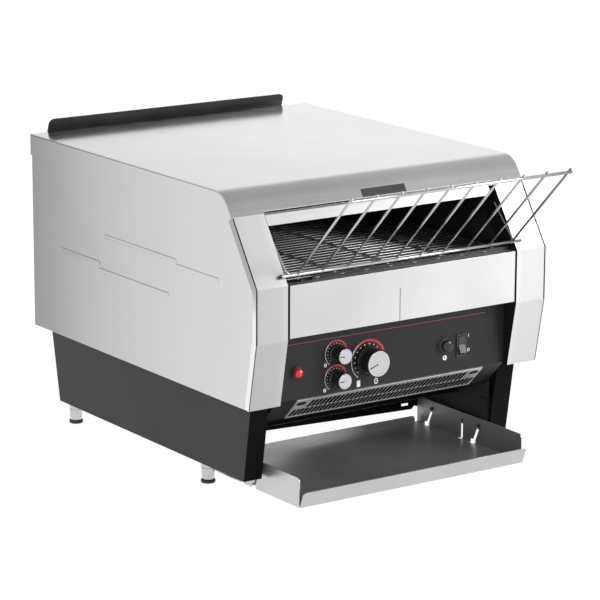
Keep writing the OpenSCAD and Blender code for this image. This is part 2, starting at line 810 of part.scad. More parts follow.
module knob_controls() {
    color(charcoal) placed() {
        control_body(speed_at, 17, 24);
        control_body(top_heat_at, 14, 30);
        control_body(bottom_heat_at, 14, 30);
    }
}

module lamp_lens() {
    color(lamp_red) placed() turned(panel_y - 1.6, lamp_at)
        polygon(concat([[0, 0], [6.6, 0], [6.6, 3]], arc([1.6, 3], 5, 0, 90, 6), [[0, 8]]));
}

module lamp_holder() {
    color(black_plastic) placed() difference() {
        union() {
            rod_y(panel_y - 1.5, panel_y, lamp_at, 8.2);
            rod_y(panel_y - 1.5, panel_y + 22, lamp_at, 6.1);
        }
        rod_y(panel_y + 1, panel_y + 30, lamp_at, 4.6);
    }
}

module reset_breaker() {
    y0 = panel_y + sheet;
    color(charcoal) placed() difference() {
        union() {
            block([reset_at[0] - 9, reset_at[0] + 9], [y0, y0 + 28],
                [reset_at[1] - 12, reset_at[1] + 12]);
            rod_y(panel_y - 2, y0 + cut, reset_at, 6.4);
            rod_y(panel_y - 2, panel_y, reset_at, 9.2);
        }
        rod_y(panel_y - 3, panel_y + 14, reset_at, 4 + run_gap);
    }
}

module reset_button() {
    y = panel_y - 2 - reset_travel - lap_gap;
    color(black_plastic) placed() {
        turned(y, reset_at) polygon(concat([[0, 0], [8.7, 0], [8.7, 1.4]],
            arc([4.2, 1.4], 4.5, 0, 60, 5), [[3.4, 5.9], [0, 6.2]]));
        rod_y(y - 0.5, panel_y + 8, reset_at, 4);
    }
}

module rocker_housing() {
    x = switch_at[0];
    z = switch_at[1];
    color(charcoal) placed() difference() {
        union() {
            block([x - 8.3, x + 8.3], [panel_y - 1.6, panel_y], [z - 15.7, z + 15.7]);
            block([x - 6.7, x + 6.7], [panel_y - 1.6, panel_y + 22], [z - 13.9, z + 13.9]);
        }
        block([x - 5.6, x + 5.6], [panel_y - 2, panel_y + 11], [z - 12.7, z + 12.7]);
        rod_x(x - 7.5, x + 7.5, [panel_y + 2, z], 1.4 + run_gap);
    }
    color(charcoal) placed() for (s = [-1, 0, 1]) {
        block([x - 3, x + 3], [panel_y + 22 - 0.2, panel_y + 30], [z + s * 8.5 - 0.4, z + s * 8.5 + 0.4]);
    }
}

// Rocker with two faces that meet in a shallow V, tipped to one stop
module rocker() {
    x = switch_at[0];
    half = 11.2;
    drop = half * tan(rocker_tilt);
    color(black_plastic) placed() translate([0, panel_y + 2, switch_at[1]])
        rotate([-rocker_tilt, 0, 0]) {
            across(x - 5.2, x + 5.2) polygon([[-4.2, 0], [-4.2 - drop, half], [-0.6, half],
                [3.4, 3], [3.4, -3], [-0.6, -half], [-4.2 - drop, -half]]);
            rod_x(x - 6.5, x + 6.5, [0, 0], 1.4);
        }
}

// ---- Chassis ----

module chassis_floor() {
    w = side_in - lap_gap;
    color(zinc) placed() difference() {
        block([-w, w], [chin_depth + 10, back_in - 0.3], [floor_z, floor_top]);
        block([-wall_in, wall_in], [0, floor_cut_y], [floor_z - cut, floor_top + cut]);
    }
}

module base_side() {
    outline = [[base_front[1], base_bottom], [base_front[0], floor_z],
        [body_d - base_back[0], floor_z], [body_d - base_back[1], base_bottom]];
    closed = concat([outline[3]], outline, [outline[0]]);
    ring = shifted(closed, -base_sheet);
    difference() {
        across(base_in, base_x) polygon(outline);
        across(base_in - cut, base_x - base_sheet) polygon([for (i = [1:4]) ring[i]]);
        block([base_in - cut, wall_in], [base_front[1] + 4, body_d],
            [base_bottom + base_sheet, floor_z + cut]);
    }
}

module right_base() {
    color(black_paint) placed() base_side();
}

module left_base() {
    color(black_paint) placed() mirror([1, 0, 0]) base_side();
}

module slide_guards() {
    top = floor_z - base_sheet - 0.2;
    front = base_front[1] + 4.8;
    back = baffle_y + sheet;
    notch_x = wall_in - 17;
    notch_z = baffle_z[1] + 0.6;
    // The baffle ends under the slide, and the guards reach on up beside it
    baffle_top = slide_z + (baffle_y - slide_y) * tan(slide_angle) - sheet / cos(slide_angle) - 1;
    color(black_paint) placed() {
        both_sides() {
            block([wall_in, wall_out], [front, back], [guard_low, top]);
            block([wall_in, wall_in + 12], [front, back], [top - sheet, top]);
        }
        difference() {
            translate([0, back, 0]) rotate([90, 0, 0]) linear_extrude(sheet)
                polygon([[-wall_out, baffle_top], [-wall_out, guard_low], [-wall_in, baffle_z[0]],
                    [notch_x, notch_z], [notch_x + 4, notch_z + 4], [wall_in, notch_z + 4],
                    [wall_out, guard_low], [wall_out, baffle_top]]);
            both_sides() block([wall_in - 35, wall_in - 23], [back - sheet - cut, back + cut],
                [36.4, 40]);
        }
    }
}

// Side wall of the toasting chamber, with holes for shafts and heaters
module chamber_wall() {
    difference() {
        across(wall_in, wall_out)
            polygon([[chin_depth + 13, floor_top], [18, lower_fold], [18, upper_fold],
                [slope_depth + 11, slope_top - 6], [slope_depth + 25, roof_z - 14],
                [back_in - 4, roof_z - 14], [back_in - 4, floor_top]]);
        for (y = [front_shaft_y, rear_shaft_y]) {
            rod_x(wall_in - cut, wall_out + cut, [y, shaft_z], bearing_r);
        }
        for (y = upper_heater_y) {
            rod_x(wall_in - cut, wall_out + cut, [y, upper_heater_z], heater_r + heater_gap);
        }
        for (y = lower_heater_y) {
            rod_x(wall_in - cut, wall_out + cut, [y, lower_heater_z], heater_r + heater_gap);
        }
    }
    block([wall_in, wall_in + 14], [floor_cut_y + 4, back_in - 4], [floor_top, floor_top + sheet]);
}

module left_chamber_wall() {
    color(zinc) placed() mirror([1, 0, 0]) chamber_wall();
}

module right_chamber_wall() {
    color(zinc) placed() difference() {
        chamber_wall();
        rod_x(wall_in - cut, wall_out + cut, [motor_y, motor_z], motor_shaft_r + 2);
    }
}

module upper_reflector() {
    w = wall_in - lap_gap;
    front = slope_depth + return_depth + 1.5;
    path = [[front, reflector_z - 7], [front, reflector_z], [guide_y - 8, reflector_z]];
    color(bright_steel) placed() sheet_across(path, -sheet, -w, w);
}

module insulation_blanket() {
    w = wall_in - 2;
    color([0.78, 0.76, 0.70]) placed()
        block([-w, w], [slope_depth + 45, guide_y - 16], [reflector_z + 0.2, roof_z - 16]);
}

module lower_reflector() {
    w = wall_in - lap_gap;
    z = shaft_z - 10;
    path = [[front_shaft_y + belt_r + 14, z + 6], [front_shaft_y + belt_r + 20, z],
        [rear_shaft_y - belt_r - 20, z], [rear_shaft_y - belt_r - 14, z + 6]];
    color(bright_steel) placed() sheet_across(path, -sheet, -w, w);
}

module upper_heaters() {
    reach = wall_out + terminal_len + 3;
    color([0.45, 0.42, 0.40]) placed() for (y = upper_heater_y) {
        rod_x(-reach, reach, [y, upper_heater_z], heater_r);
    }
}

module lower_heaters() {
    reach = wall_out + terminal_len + 3;
    color([0.45, 0.42, 0.40]) placed() for (y = lower_heater_y) {
        rod_x(-reach, reach, [y, lower_heater_z], heater_r);
    }
}

// Ceramic end bush that holds one heater tube on the wall
module end_bush(p) {
    difference() {
        rod_x(wall_out, wall_out + terminal_len, p, heater_r + 3.2);
        rod_x(wall_out - cut, wall_out + terminal_len + cut, p, heater_r + 0.1);
    }
}

module heater_terminals() {
    color(ceramic_white) placed() both_sides() {
        for (y = upper_heater_y) {
            end_bush([y, upper_heater_z]);
        }
        for (y = lower_heater_y) {
            end_bush([y, lower_heater_z]);
        }
    }
}

// ---- Conveyor ----

module belt_supports() {
    rail_top = belt_under - 0.5;
    w = wall_in - lap_gap;
    color(zinc) placed() {
        for (x = [-0.67, 0, 0.67] * belt_half_w) {
            block([x - 2, x + 2], [front_shaft_y + belt_r + 6, rear_shaft_y - belt_r - 6],
                [rail_top - 8, rail_top]);
        }
        for (y = [front_shaft_y + 58, rear_shaft_y - 58]) {
            block([-w, w], [y - 4, y + 4], [rail_top - 12, rail_top - 7]);
        }
    }
}

// One straight run of the belt, above (1) or below (-1) the shafts: wires and flat links
module belt_run(side) {
    z = shaft_z + side * belt_r;
    for (k = [0.5:run_links - 0.5]) {
        rod_x(-belt_half_w, belt_half_w, [front_shaft_y + k * belt_pitch, z], belt_wire_r);
    }
    for (x = link_x) {
        block([x - link_w / 2, x + link_w / 2], [front_shaft_y, rear_shaft_y],
            [z - link_t / 2, z + link_t / 2]);
    }
}

// Half turn of the belt round a shaft, in front of it (-1) or behind it (1). Its upper and
// lower quarters are linked rows of their own, so that the belt stays open inside.
module belt_wrap(y, side) {
    step = 360 / belt_teeth;
    r = belt_r + link_t / 2;
    for (k = [0.5:belt_teeth / 2 - 0.5]) {
        turn = side * (90 - k * step);
        rod_x(-belt_half_w, belt_half_w,
            [y, shaft_z] + belt_r * [side * cos(turn), side * sin(turn)], belt_wire_r);
    }
    for (x = link_x) {
        difference() {
            rod_x(x - link_w / 2, x + link_w / 2, [y, shaft_z], r);
            rod_x(x - link_w, x + link_w, [y, shaft_z], r - link_t);
            block([x - link_w, x + link_w], side > 0 ? [y - r - cut, y] : [y, y + r + cut],
                [shaft_z - r - cut, shaft_z + r + cut]);
            block([x - link_w, x + link_w], [y - r - cut, y + r + cut],
                [shaft_z - lap_gap / 2, shaft_z + lap_gap / 2]);
        }
    }
}

module belt_top_run() {
    color(zinc) placed() belt_run(1);
}

module belt_return_run() {
    color(zinc) placed() belt_run(-1);
}

module belt_front_wrap() {
    color(zinc) placed() belt_wrap(front_shaft_y, -1);
}

module belt_rear_wrap() {
    color(zinc) placed() belt_wrap(rear_shaft_y, 1);
}

// Shaft across the chamber with its belt sprockets
module belt_shaft(y, x1) {
    rod_x(-wall_out - 8, x1, [y, shaft_z], shaft_r);
    for (x = sprocket_x) {
        translate([0, y, shaft_z]) across(x - 3, x + 3)
            polygon(toothed(belt_teeth, belt_r - 5, belt_r - belt_wire_r - 0.6));
        rod_x(x - 7, x + 7, [y, shaft_z], shaft_r + 3);
    }
}

module front_shaft() {
    color(zinc) placed() belt_shaft(front_shaft_y, wall_out + 8);
}

module rear_shaft() {
    color(zinc) placed() belt_shaft(rear_shaft_y, chain_x + chain_w + 4);
}

module shaft_bearings() {
    color([0.72, 0.58, 0.30]) placed() both_sides() for (y = [front_shaft_y, rear_shaft_y]) {
        difference() {
            union() {
                rod_x(wall_in - 1.6, wall_in, [y, shaft_z], bearing_r + 2);
                rod_x(wall_in - 1.6, wall_out + 5, [y, shaft_z], bearing_r - 0.05);
            }
            rod_x(wall_in - 3, wall_out + 6, [y, shaft_z], shaft_r + run_gap);
        }
    }
}

// Toothed wheel for the drive chain, with a hub on its inner side
module chain_wheel(p, r, teeth) {
    translate([0, p[0], p[1]]) across(chain_x, chain_x + chain_w)
        polygon(toothed(teeth, r - 5, r - chain_t / 2 - 0.4));
}

module chain_sprocket() {
    p = [rear_shaft_y, shaft_z];
    color(zinc) placed() difference() {
        union() {
            chain_wheel(p, shaft_sprocket_r, shaft_sprocket_teeth);
            rod_x(chain_x - 4, chain_x + 0.5, p, shaft_r + 4);
        }
        rod_x(chain_x - 5, chain_x + chain_w + cut, p, shaft_r + 0.02);
    }
}

module motor_sprocket() {
    p = [motor_y, motor_z];
    color(zinc) placed() {
        chain_wheel(p, motor_sprocket_r, motor_sprocket_teeth);
        rod_x(wall_in - 24, chain_x + chain_w + 3, p, motor_shaft_r);
    }
}

module drive_motor() {
    p = [motor_y, motor_z];
    gear_x = [wall_in - 44, wall_in - 4];
    color(charcoal) placed() difference() {
        union() {
            rod_x(gear_x[0] - 72, gear_x[0] + 1, p, motor_can_r);
            rod_x(gear_x[0] - 78, gear_x[0] - 72, p, 12);
            block(gear_x, [p[0] - 27, p[0] + 27], [p[1] - 26, p[1] + 26]);
            block([gear_x[0] - 60, gear_x[1]], [p[0] - 34, p[0] + 34], [floor_top, floor_top + 3.2]);
            block([gear_x[0] - 46, gear_x[0] - 38], [p[0] - 20, p[0] + 20], [floor_top, p[1]]);
        }
        rod_x(wall_in - 26, wall_in, p, motor_shaft_r + run_gap);
    }
}

module drive_chain() {
    a = [rear_shaft_y, shaft_z];
    b = [motor_y, motor_z];
    color(zinc) placed() difference() {
        across(chain_x - 0.4, chain_x + chain_w + 0.4) polygon(loop_path(a,
            shaft_sprocket_r + chain_t / 2, b, motor_sprocket_r + chain_t / 2));
        across(chain_x - 1.4, chain_x + chain_w + 1.4) polygon(loop_path(a,
            shaft_sprocket_r - chain_t / 2, b, motor_sprocket_r - chain_t / 2));
    }
}

module fan_housing() {
    y0 = back_in - 25;
    hub = [y0, y0 + 7];
    color(black_plastic) placed() {
        difference() {
            block([fan_at[0] - fan_w / 2, fan_at[0] + fan_w / 2], [y0, back_in],
                [fan_at[1] - fan_w / 2, fan_at[1] + fan_w / 2]);
            rod_y(y0 - cut, back_in + cut, fan_at, fan_w / 2 - 2.5);
        }
        difference() {
            union() {
                rod_y(hub[0], hub[1], fan_at, 15);
                for (a = [45, 135, 225, 315]) {
                    translate([fan_at[0], 0, fan_at[1]]) rotate([0, a, 0])
                        block([-2, 2], [y0, y0 + 4], [10, fan_w / 2 - 1.5]);
                }
            }
            rod_y(y0 - cut, y0 + 8, fan_at, 2.5 + run_gap);
        }
    }
}

module fan_rotor() {
    y1 = back_in - 3;
    color(charcoal) placed() {
        rod_y(back_in - 17, y1, fan_at, 13.5);
        rod_y(back_in - 24, y1, fan_at, 2.5);
        intersection() {
            rod_y(back_in - 17, y1, fan_at, fan_w / 2 - 4);
            translate([fan_at[0], back_in - 10, fan_at[1]]) for (i = [0:6]) {
                rotate([0, i * 360 / 7, 0]) rotate([0, 0, 35])
                    block([-8, 8], [-0.8, 0.8], [10, fan_w / 2]);
            }
        }
    }
}

// ---- Toast path ----

module toast_slide() {
    path = [[slide_y - 1.9, slide_z - 4.5], [slide_y, slide_z], [slide_end_y, slide_end_z]];
    side = [[slide_y + 6, slide_z + 6 * tan(slide_angle)],
        [slide_end_y - 2, slide_end_z - 2 * tan(slide_angle)]];
    color(stainless) placed() {
        sheet_across(path, -sheet, -slide_half_w, slide_half_w);
        both_sides() across(slide_half_w - sheet, slide_half_w)
            polygon(concat([side[0] - [0, 0.6], side[1] - [0, 0.6]],
                [side[1] + [0, 14], side[0] + [10, 14]]));
    }
}

module rear_guide() {
    start = [slide_end_y, slide_end_z] + 0.4 * [cos(slide_angle), sin(slide_angle)];
    path = concat([start], arc([guide_c_y, guide_c_z], guide_r, slide_angle - 86, 0, 10),
        [[guide_y, guide_top], [guide_y - 7, guide_top + 12]]);
    color(stainless) placed() sheet_across(path, -sheet, -slide_half_w, slide_half_w);
}

// Slot for a hanger pin: slanted, with a foot that runs on into the floor
module tray_slot(y, slant) {
    drop = tray_slot_top - tray_z;
    translate([0, y, tray_pin_z]) rotate([slant, 0, 0])
        block([tray_half_w - 3, tray_half_w + cut], [-tray_slot_w / 2, tray_slot_w / 2],
            [-(drop - tray_slot_w / 2) / cos(slant) + 2, 0]);
    rod_x(tray_half_w - 3, tray_half_w + cut, [y, tray_pin_z], tray_slot_w / 2);
}

// Open foot of a slot, cut in the wall and in the floor
module slot_foot(y, length, h) {
    block([tray_half_w - 5, tray_half_w + cut], [y - tray_slot_w / 2, y + length],
        [tray_z - tray_hem - cut, tray_z + sheet + h]);
}

module tray_wall_outline() {
    r = 6;
    y0 = -tray_front + 2;
    low = tray_z - tray_hem;
    top = tray_z + tray_wall_h;
    polygon(concat([[tray_back, low], [tray_back, top - 5], [tray_back - 5, top]],
        arc([y0 + r, top - r], r, 90, 180, 6), [[y0, low]]));
}

module toast_tray() {
    inner = tray_half_w - sheet;
    foot_shift = (tray_slot_top - tray_z - 8) * tan(tray_slot_slant);
    color(stainless) placed() difference() {
        union() {
            block([-tray_half_w, tray_half_w], [-tray_front, tray_back], [tray_z, tray_z + sheet]);
            both_sides() across(inner, tray_half_w) tray_wall_outline();
            translate([0, tray_back, tray_z]) rotate([90, 0, 0]) linear_extrude(sheet)
                polygon(rounded_tab(-tray_half_w + 6, tray_half_w - 6, tray_back_h, 5));
            translate([0, 0.3 - tray_front, tray_z + 0.15 - tray_hem]) rotate([90 + tray_lip_lean, 0, 0])
                translate([0, 0, -sheet]) linear_extrude(sheet)
                    polygon(rounded_tab(0.3 - tray_half_w, tray_half_w - 0.3, tray_lip_h + tray_hem, 4));
        }
        both_sides() {
            for (y = tray_slot_y) {
                tray_slot(y, tray_slot_slant);
                slot_foot(y + foot_shift, 8, 4.5);
            }
            tray_slot(tray_plain_slot_y, 0);
            slot_foot(tray_plain_slot_y, 5, 0);
        }
    }
}

module tray_hangers() {
    color(black_paint) placed() both_sides() for (y = tray_slot_y) {
        block([wall_in - 2, wall_in], [y - 7, y + 7], [tray_pin_z - 4.5, slide_z - 1]);
        rod_x(tray_half_w - 4, wall_in - 1, [y, tray_pin_z], hanger_pin_r);
    }
}

// ---- Feed rack ----

// Arm from the lower rod to its pivot pin in the bezel
module rack_arm() {
    translate([0, rack_rod[0], rack_rod[1]]) rotate([arm_a, 0, 0]) {
        translate([arm_x, arm_bend_r, 0]) rotate([-90, 0, 0])
            cylinder(r = rack_bar_r, h = arm_len - arm_bend_r);
        translate([arm_x - arm_bend_r, arm_bend_r, 0]) rotate([0, 0, -90])
            rotate_extrude(angle = 90) translate([arm_bend_r, 0]) circle(r = rack_bar_r);
    }
    rod_x(arm_x - pivot_pin_r - 0.15, return_out + 1.4, [pivot_y, pivot_z], pivot_pin_r);
}

module feed_rack() {
    bar_x = [for (i = [0:rack_bars - 1]) rack_shift + (i - (rack_bars - 1) / 2) * rack_pitch];
    color(bright_steel) placed() {
        rod_x(-rack_half_w, rack_half_w, rack_rod, rack_rod_r);
        rod_x(bar_x[0] - 1.6, bar_x[rack_bars - 1] + 1.6, rack_top_rod, rack_rod_r);
        for (x = bar_x) {
            translate([x, rack_rod[0], rack_rod[1]]) rotate([rack_lean, 0, 0])
                cylinder(r = rack_bar_r, h = rack_len + rack_nub);
        }
        both_sides() rack_arm();
    }
}

// ---- Feet and back ----

module feet() {
    color(zinc) placed() both_sides() for (y = foot_y) {
        translate([foot_x, y, pad_h]) rotate_extrude()
            polygon([[0, 0], [foot_tip_r, 0], [foot_r, base_bottom - pad_h],
                [0, base_bottom - pad_h]]);
        translate([foot_x, y, base_bottom + base_sheet]) cylinder(r = 6, h = 5, $fn = 6);
    }
}

module foot_pads() {
    color(black_plastic) placed() both_sides() for (y = foot_y) {
        translate([foot_x, y, 0]) rotate_extrude() polygon([[0, 0], [pad_r - 1, 0],
            [pad_r, 1], [pad_r, pad_h - 1.2], [pad_r - 1, pad_h], [0, pad_h]]);
    }
}

module cord_gland() {
    color(black_plastic) placed() difference() {
        union() {
            rod_y(back_y, back_y + 4, gland_at, cord_r + 7.5);
            rod_y(back_in - 8, back_y + 15, gland_at, cord_r + 3.5);
            rod_y(back_in - 6, back_in, gland_at, cord_r + 7);
        }
        rod_y(back_in - 9, back_y + 16, gland_at, cord_r);
    }
}

module terminal_block() {
    x0 = -60;
    y0 = back_in - 130;
    color(ceramic_white) placed() {
        difference() {
            block([x0, x0 + 80], [y0, y0 + 26], [floor_top, floor_top + 20]);
            for (i = [0:4], y = [7, 19]) {
                translate([x0 + 8 + 16 * i, y0 + y, floor_top + 14]) cylinder(r = 3.4, h = 10);
            }
            for (i = [0:3]) {
                block([x0 + 15 + 16 * i, x0 + 17 + 16 * i], [y0 - cut, y0 + 27],
                    [floor_top + 12, floor_top + 21]);
            }
        }
    }
}

top_cover();
left_side_panel();
right_side_panel();
back_panel();
rear_flange();
left_bezel();
right_bezel();
feed_lintel();
cover_plate();
front_panel();
guard_strip();
control_panel();
vent_grille();
casing_screws();
control_box();
chassis_floor();
left_base();
right_base();
slide_guards();
left_chamber_wall();
right_chamber_wall();
upper_reflector();
insulation_blanket();
lower_reflector();
upper_heaters();
lower_heaters();
heater_terminals();
belt_supports();
belt_top_run();
belt_return_run();
belt_front_wrap();
belt_rear_wrap();
front_shaft();
rear_shaft();
shaft_bearings();
chain_sprocket();
motor_sprocket();
drive_motor();
drive_chain();
fan_housing();
fan_rotor();
toast_slide();
rear_guide();
toast_tray();
tray_hangers();
feed_rack();
speed_knob();
speed_knob_cap();
top_heat_knob();
top_heat_knob_cap();
bottom_heat_knob();
bottom_heat_knob_cap();
knob_controls();
lamp_lens();
lamp_holder();
reset_button();
reset_breaker();
rocker();
rocker_housing();
feet();
foot_pads();
cord_gland();
terminal_block();
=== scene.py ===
import bpy
import bmesh
import json
import math
import random
from mathutils import Matrix, Vector

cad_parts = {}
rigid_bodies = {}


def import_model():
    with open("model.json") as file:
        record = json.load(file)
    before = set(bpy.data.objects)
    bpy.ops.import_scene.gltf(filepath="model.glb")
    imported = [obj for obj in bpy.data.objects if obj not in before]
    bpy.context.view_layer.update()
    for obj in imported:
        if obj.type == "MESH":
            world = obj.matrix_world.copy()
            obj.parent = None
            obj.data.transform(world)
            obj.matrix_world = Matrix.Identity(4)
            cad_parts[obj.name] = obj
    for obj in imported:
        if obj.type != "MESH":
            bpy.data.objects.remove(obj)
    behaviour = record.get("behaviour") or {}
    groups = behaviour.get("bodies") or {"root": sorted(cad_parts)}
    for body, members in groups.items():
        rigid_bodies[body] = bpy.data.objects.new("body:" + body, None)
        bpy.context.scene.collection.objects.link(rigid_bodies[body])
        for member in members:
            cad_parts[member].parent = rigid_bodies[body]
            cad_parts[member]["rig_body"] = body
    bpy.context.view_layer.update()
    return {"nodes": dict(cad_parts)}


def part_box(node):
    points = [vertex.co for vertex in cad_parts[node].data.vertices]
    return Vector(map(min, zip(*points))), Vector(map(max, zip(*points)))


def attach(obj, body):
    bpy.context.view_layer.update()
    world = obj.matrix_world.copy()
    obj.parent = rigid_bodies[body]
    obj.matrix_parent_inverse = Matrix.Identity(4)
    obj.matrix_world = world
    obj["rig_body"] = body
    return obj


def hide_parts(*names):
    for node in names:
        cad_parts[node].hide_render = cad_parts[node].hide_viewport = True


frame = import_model()

# ---- Camera, light and floor ----
# Places are given in millimetres: to the right of the middle, behind the front panel's face,
# and above the table. A long lens looks down on the left front corner. The table is a glowing
# white sheet, and the room is bright all round and greyer overhead.
MM = 0.001
front_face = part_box("front_panel")[0].y


def at(x, y, z):
    """The point x to the right, y behind the front panel's face and z above the table."""
    return Vector((x * MM, front_face + y * MM, z * MM))


LENS_PIXELS, PICTURE, SENSOR = 2904.0, 600.0, 36.0
LENS_CENTRE = (309.24, 304.34)
camera = bpy.data.objects.new("camera", bpy.data.cameras.new("camera"))
camera.data.sensor_width = SENSOR
camera.data.lens = LENS_PIXELS / PICTURE * SENSOR
camera.data.shift_x = (PICTURE / 2 - LENS_CENTRE[0]) / PICTURE
camera.data.shift_y = (LENS_CENTRE[1] - PICTURE / 2) / PICTURE
camera.data.clip_end = 60
yaw, pitch, roll = (math.radians(a) for a in (-34.82, -13.67, 0.26))
camera.matrix_world = (Matrix.Translation(at(-2208.4, -2955.1, 1145.3))
                       @ Matrix.Rotation(yaw, 4, "Z") @ Matrix.Rotation(math.pi / 2 + pitch, 4, "X")
                       @ Matrix.Rotation(roll, 4, "Z"))
bpy.context.scene.collection.objects.link(camera)
bpy.context.scene.camera = camera
bpy.context.scene.view_settings.view_transform = "Standard"


def place(tree, kind, inputs=None, **settings):
    """Adds a node to a tree. An input is given as a value or as the socket that feeds it."""
    made = tree.nodes.new(kind)
    for name, value in settings.items():
        setattr(made, name, value)
    for name, value in (inputs or {}).items():
        if isinstance(value, bpy.types.NodeSocket):
            tree.links.new(value, made.inputs[name])
        else:
            made.inputs[name].default_value = value
    return made


def ramp(tree, source, stops):
    """A colour ramp fed by a socket, with (place, brightness or colour) stops."""
    made = place(tree, "ShaderNodeValToRGB", {"Fac": source})
    elements = made.color_ramp.elements
    while len(elements) < len(stops):
        elements.new(0.5)
    for element, (where, colour) in zip(elements, stops):
        element.position = where
        element.color = (*colour, 1) if hasattr(colour, "__len__") else (colour, colour, colour, 1)
    return made.outputs["Color"]


def multiplied(tree, first, second):
    """The product of two colours."""
    mix = place(tree, "ShaderNodeMix", data_type="RGBA", blend_type="MULTIPLY")
    mix.inputs["Factor"].default_value = 1.0
    tree.links.new(first, mix.inputs[6])
    tree.links.new(second, mix.inputs[7])
    return mix.outputs[2]


def vector_math(tree, operation, *given):
    """A vector calculation on values or sockets."""
    return place(tree, "ShaderNodeVectorMath", dict(enumerate(given)), operation=operation)


sky = bpy.data.worlds.new("sky")
bpy.context.scene.world = sky
sky.use_nodes = True
sky_tree = sky.node_tree
direction = place(sky_tree, "ShaderNodeTexCoord").outputs["Generated"]
height = place(sky_tree, "ShaderNodeSeparateXYZ", {"Vector": direction}).outputs["Z"]
high_tone = ramp(sky_tree, height, [(0.0, 1.0), (0.36, 1.0), (0.62, 0.62), (0.85, 0.52)])
DIM_CORNER = (-0.57, 0.82, 0.0)
toward = vector_math(sky_tree, "DOT_PRODUCT", direction, DIM_CORNER)
corner_tone = ramp(sky_tree, toward.outputs["Value"], [(0.35, 1.0), (0.95, 0.55)])
sky_shader = sky_tree.nodes["Background"]
sky_tree.links.new(multiplied(sky_tree, high_tone, corner_tone), sky_shader.inputs["Color"])
sky_shader.inputs["Strength"].default_value = 1.15


def softbox(name, place_at, aim, size, watts):
    """A square area light that faces the point it aims at."""
    light = bpy.data.lights.new(name, "AREA")
    light.shape = "SQUARE"
    light.size = size
    light.energy = watts
    lamp = bpy.data.objects.new(name, light)
    lamp.matrix_world = (Matrix.Translation(place_at)
                         @ (aim - place_at).to_track_quat("-Z", "Y").to_matrix().to_4x4())
    bpy.context.scene.collection.objects.link(lamp)


middle = at(0, 200, 220)
softbox("softbox_right", at(1500, -1300, 1000), middle, 0.9, 26)
softbox("softbox_front", at(-300, -2600, 1900), middle, 1.2, 22)


def made_object(name, mesh):
    """Links a new object with that mesh to the scene."""
    piece = bpy.data.objects.new(name, mesh)
    bpy.context.scene.collection.objects.link(piece)
    return piece


def new_finish(name, values):
    """A new material, its nodes and its shader, with values set on the shader's sockets."""
    finish = bpy.data.materials.new(name)
    finish.use_nodes = True
    shader = finish.node_tree.nodes["Principled BSDF"]
    for socket, value in values.items():
        shader.inputs[socket].default_value = value
    return finish, finish.node_tree, shader


FLOOR_HALF = 16
floor_mesh = bpy.data.meshes.new("floor")
floor_mesh.from_pydata([(x * FLOOR_HALF, y * FLOOR_HALF, 0) for x, y in
                        ((-1, -1), (1, -1), (1, 1), (-1, 1))], [], [(0, 1, 2, 3)])
floor_mesh.materials.append(new_finish("floor_sheet", {
    "Base Color": (0.12, 0.12, 0.12, 1), "Roughness": 0.8, "Specular IOR Level": 0.1,
    "Emission Color": (1, 1, 1, 1), "Emission Strength": 0.95})[0])
made_object("floor", floor_mesh)


def shader_group(name, inputs, outputs):
    """A new shader node group with named sockets, and its inner ends."""
    group = bpy.data.node_groups.new(name, "ShaderNodeTree")
    for label, value in inputs.items():
        kind = "NodeSocketVector" if hasattr(value, "__len__") else "NodeSocketFloat"
        group.interface.new_socket(name=label, in_out="INPUT", socket_type=kind).default_value = value
    for label in outputs:
        group.interface.new_socket(name=label, in_out="OUTPUT", socket_type="NodeSocketFloat")
    return group, group.nodes.new("NodeGroupInput").outputs, group.nodes.new("NodeGroupOutput").inputs


def noise(tree, spot, **inputs):
    """The value of a noise at a spot."""
    return place(tree, "ShaderNodeTexNoise", {"Vector": spot, **inputs}).outputs["Fac"]


# Brush marks: streaks that are long where the stretch is small, and soft clouds of polish.
brush_marks, given, result = shader_group("brush_marks", {"Stretch": (8, 900, 900), "Clouds": 7.0},
                                          ["Streaks", "Clouds"])
spot = place(brush_marks, "ShaderNodeTexCoord").outputs["Object"]
stretched = vector_math(brush_marks, "MULTIPLY", spot, given["Stretch"]).outputs["Vector"]
streaks = noise(brush_marks, stretched, Scale=1.0, Detail=5.0, Roughness=0.65)
clouds = noise(brush_marks, spot, Scale=given["Clouds"], Detail=3.0, Distortion=0.4)
brush_marks.links.new(streaks, result["Streaks"])
brush_marks.links.new(clouds, result["Clouds"])

ALONG_X, ALONG_Y, ALONG_Z, ALL_WAYS = (7, 900, 900), (900, 7, 900), (900, 900, 7), (420, 420, 420)


def ranged(tree, value, start, end, low=0.0, high=1.0):
    """A value that runs from low to high while another runs from start to end."""
    return place(tree, "ShaderNodeMapRange", {"Value": value, "From Min": start, "From Max": end,
                                              "To Min": low, "To Max": high}).outputs["Result"]


def raised(tree, shader, height_from, strength):
    """Gives a shader fine relief that follows a socket."""
    relief = place(tree, "ShaderNodeBump", {"Height": height_from, "Strength": strength,
                                            "Distance": 0.2 * MM})
    tree.links.new(relief.outputs["Normal"], shader.inputs["Normal"])


